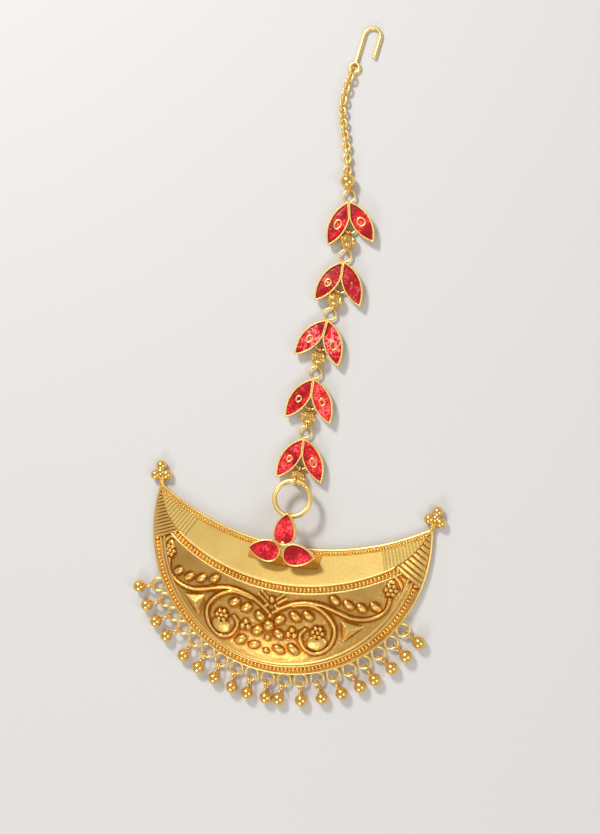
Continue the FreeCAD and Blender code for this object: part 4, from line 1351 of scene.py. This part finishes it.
def bead_middle(number):
    """Middle of a bead: the sphere is the highest part of its link, and the widest part of the last one,
    whose neck rises above it."""
    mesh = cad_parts[f"bead_link_{number}"].data
    points = np.array([v.co for v in mesh.vertices]) / MM
    if number < 5:
        most = points[points[:, 2] > 2 * BEAD - 0.25]
    else:
        from_axis = np.abs(points[:, 0] - points[:, 0].min() / 2 - points[:, 0].max() / 2)
        most = points[from_axis > BEAD - 0.12]
    return most[:, 0].min() / 2 + most[:, 0].max() / 2, most[:, 1].min() / 2 + most[:, 1].max() / 2


class TIKKA_OT_beads(bpy.types.Operator):
    """Bead links between the leaf pairs, with short necks to their eyes"""
    bl_idname = "tikka.beads"
    bl_label = "Bead links"

    def execute(self, context):
        f = finishes()
        eye_z = LINK_EYE + LINK_EYE_WIRE
        for number, degrees in enumerate(BEAD_TURNS):
            piece = smooth_copy(f"bead_{number}", f"bead_link_{number}", f.bead, "gold", 60.0)
            x, y = bead_middle(number)
            a = math.radians(90 + degrees)
            way = Vector((math.cos(a), math.sin(a), 0))
            necks = Shapes()
            if number:
                for k in range(BEAD_RIBS):
                    if math.sin(2 * math.pi * k / BEAD_RIBS) < -0.7:
                        continue
                    flute(necks, Vector((x, y, BEAD)), way, 2 * math.pi * k / BEAD_RIBS)
            for side in (1,) if number == 5 else (-1, 1):
                start = Vector((x, y, BEAD)) + way * side * (BEAD - 0.35)
                end = Vector((x, y, 0)) + way * side * (eye_out() + 0.1)
                end.z = 2 * eye_z - LINK_EYE_WIRE
                necks.bar(start, end, NECK_WIDE, NECK_NARROW, 20)
                necks.ball(end, NECK_NARROW, 16, 10)
            join_into(piece, necks.piece("necks", [f.bead]))
        return {"FINISHED"}


def flute(shapes, middle, way, turn):
    """Rib along a bead, from near one eye to near the other."""
    side = (way.cross(Vector((0, 0, 1))) * math.cos(turn) + Vector((0, 0, math.sin(turn)))).normalized()
    across = way.cross(side)
    rings = []
    for k in range(11):
        a = math.radians(35 + 11 * k)
        out = way * math.cos(a) + side * math.sin(a)
        r = 0.27 * math.sin(math.pi * (k + 0.6) / 11.2)
        at = middle + out * (BEAD - 0.4 * r)
        rings.append([at + (out * math.cos(b) + across * math.sin(b)) * r
                      for b in [2 * math.pi * m / 8 for m in range(8)]])
    shapes.grid(rings, closed_along=False)


def join_into(piece, extra):
    """Adds the faces of one mesh object to another and removes it."""
    work = bmesh.new()
    work.from_mesh(piece.data)
    work.from_mesh(extra.data)
    work.to_mesh(piece.data)
    work.free()
    bpy.data.objects.remove(extra)


class TIKKA_OT_ring_and_hook(bpy.types.Operator):
    """Big open ring above the flower and the plain wire hair hook"""
    bl_idname = "tikka.ring_and_hook"
    bl_label = "Big ring and hook"

    def execute(self, context):
        f = finishes()
        smooth_copy("ring_above_flower", "big_ring", f.wire, "gold", 50.0)
        smooth_copy("wire_hook", "hair_hook", f.wire, "gold", 50.0)
        return {"FINISHED"}


# Route of the chain from the last bead, in millimetres.
CHAIN_ROUTE = ((-1.8, 8.4), (-3.3, 13.4), (-4.4, 18.2), (-4.2, 23.0), (-3.4, 26.9))
CHAIN_START, CHAIN_TAIL = 2.9, 0.7      # from the bead's middle, and on past the route's end
CHAIN_HEIGHT, CHAIN_SPACING = 1.2, 1.42


class TIKKA_OT_chain(bpy.types.Operator):
    """Fine link chain between the last bead and the hook"""
    bl_idname = "tikka.chain"
    bl_label = "Link chain"

    def execute(self, context):
        f, w = finishes(), context.scene.tikka_wires
        x, y = bead_middle(0)
        a = math.radians(90 + BEAD_TURNS[0])
        start = (x + math.cos(a) * CHAIN_START, y + math.sin(a) * CHAIN_START)
        points = [start] + [(x + dx, y + dy) for dx, dy in CHAIN_ROUTE]
        end, before = np.array(points[-1]), np.array(points[-2])
        way = (end - before) / np.hypot(*(end - before))
        points.append(tuple(end + way * CHAIN_TAIL))
        path = [(px, py, CHAIN_HEIGHT) for px, py in curve_through(points, 12)]
        chain = grow("link_chain", tree_named("link chain", chain_tree), path_mesh(path),
                     {"Link": w.link_length / 2 - w.link_wire, "Wire": w.link_wire,
                      "Spacing": CHAIN_SPACING * MM}, f.wire)
        finished(chain, "gold", "chain")
        return {"FINISHED"}


# ---------------------------------------------------------------- floor, light and camera

FLOOR_HALF = 3
FLOOR_SURFACE = {"Roughness": 0.9, "Specular IOR Level": 0.1}
SKY_COLOUR, SKY_STRENGTH = (1.0, 0.985, 0.96, 1), 0.5
# Name, place in metres, size in metres and power in watts of each lamp.
LAMPS = (("key", (-0.24, 0.30, 0.40), 0.10, 2.1),
         ("fill", (0.36, -0.10, 0.34), 0.20, 0.42),
         ("front", (-0.06, -0.40, 0.26), 0.16, 0.5))
LAMP_TARGET = (0, -0.02, 0)
SENSOR, FOCAL_LENGTH = 36, 57           # millimetres
CAMERA_AT, CAMERA_AIM = (0.0638, -0.0101, 0.3284), (-0.0020, -0.0136, 0.0013)
CAMERA_LEAN = 8.85                      # how far the strand leans from upright in the view, in degrees


class TIKKA_OT_stage(bpy.types.Operator):
    """Plain pale floor, soft studio light and the camera"""
    bl_idname = "tikka.stage"
    bl_label = "Floor, light and camera"

    def execute(self, context):
        scene = context.scene
        mesh = bpy.data.meshes.new("floor")
        corners = [(x * FLOOR_HALF, y * FLOOR_HALF, 0) for x, y in ((-1, -1), (1, -1), (1, 1), (-1, 1))]
        mesh.from_pydata(corners, [], [(0, 1, 2, 3)])
        floor = bpy.data.objects.new("floor", mesh)
        scene.collection.objects.link(floor)
        paper, _, surface = new_material("pale floor")
        surface.inputs["Base Color"].default_value = (*scene.tikka_finish.floor, 1)
        for label, value in FLOOR_SURFACE.items():
            surface.inputs[label].default_value = value
        mesh.materials.append(paper)

        world = bpy.data.worlds.new("studio")
        world.use_nodes = True
        sky = world.node_tree.nodes["Background"]
        sky.inputs["Color"].default_value = SKY_COLOUR
        sky.inputs["Strength"].default_value = SKY_STRENGTH
        scene.world = world
        target = Vector(LAMP_TARGET)
        for name, place, size, power in LAMPS:
            light = bpy.data.lights.new(name, "AREA")
            light.size, light.energy = size, power
            lamp = bpy.data.objects.new(name, light)
            lamp.location = place
            lamp.rotation_euler = (target - Vector(place)).to_track_quat("-Z", "Y").to_euler()
            scene.collection.objects.link(lamp)

        lens = bpy.data.cameras.new("camera")
        lens.sensor_fit = "VERTICAL"
        lens.sensor_height = SENSOR
        lens.lens = FOCAL_LENGTH
        lens.clip_start = 0.01
        camera = bpy.data.objects.new("camera", lens)
        place, aim = Vector(CAMERA_AT), Vector(CAMERA_AIM)
        turn = (aim - place).to_track_quat("-Z", "Y")
        upright = turn @ Vector((0, 1, 0))
        sideways = turn @ Vector((1, 0, 0))
        north = Vector((0, 1, 0))
        lean = math.atan2(north.dot(sideways), north.dot(upright)) - math.radians(CAMERA_LEAN)
        camera.location = place
        camera.rotation_euler = (turn @ Euler((0, 0, -lean)).to_quaternion()).to_euler()
        scene.collection.objects.link(camera)
        scene.camera = camera
        scene.view_settings.view_transform = "Standard"
        return {"FINISHED"}


# ---------------------------------------------------------------- panel and run

STEPS = ("plate", "borders", "loops", "horn_tips", "drops", "flower", "leaves", "beads", "ring_and_hook", "chain",
         "stage")


class TIKKA_PT_panel(bpy.types.Panel):
    """Sizes, finishes and the steps that make the tikka"""
    bl_idname = "TIKKA_PT_panel"
    bl_label = "Maang tikka"
    bl_space_type = "VIEW_3D"
    bl_region_type = "UI"
    bl_category = "Tikka"

    def draw(self, context):
        scene = context.scene
        for group in (scene.tikka_plate, scene.tikka_wires, scene.tikka_cells, scene.tikka_finish):
            box = self.layout.box()
            for key in group.bl_rna.properties.keys():
                if key not in {"rna_type", "name"}:
                    box.prop(group, key)
        for step in STEPS:
            self.layout.operator("tikka." + step)


GROUPS = (("tikka_plate", TikkaPlateSizes), ("tikka_wires", TikkaWireSizes), ("tikka_cells", TikkaCellSizes),
          ("tikka_finish", TikkaFinish))
CLASSES = (TIKKA_OT_plate, TIKKA_OT_borders, TIKKA_OT_loops, TIKKA_OT_horn_tips, TIKKA_OT_drops,
           TIKKA_OT_flower, TIKKA_OT_leaves, TIKKA_OT_beads, TIKKA_OT_ring_and_hook, TIKKA_OT_chain,
           TIKKA_OT_stage, TIKKA_PT_panel)


def register():
    for key, group in GROUPS:
        bpy.utils.register_class(group)
        setattr(bpy.types.Scene, key, PointerProperty(type=group))
    for made in CLASSES:
        bpy.utils.register_class(made)


def unregister():
    for made in reversed(CLASSES):
        bpy.utils.unregister_class(made)
    for key, group in reversed(GROUPS):
        delattr(bpy.types.Scene, key)
        bpy.utils.unregister_class(group)


def main():
    register()
    for step in STEPS:
        getattr(bpy.ops.tikka, step)()


if __name__ == "__main__":
    main()
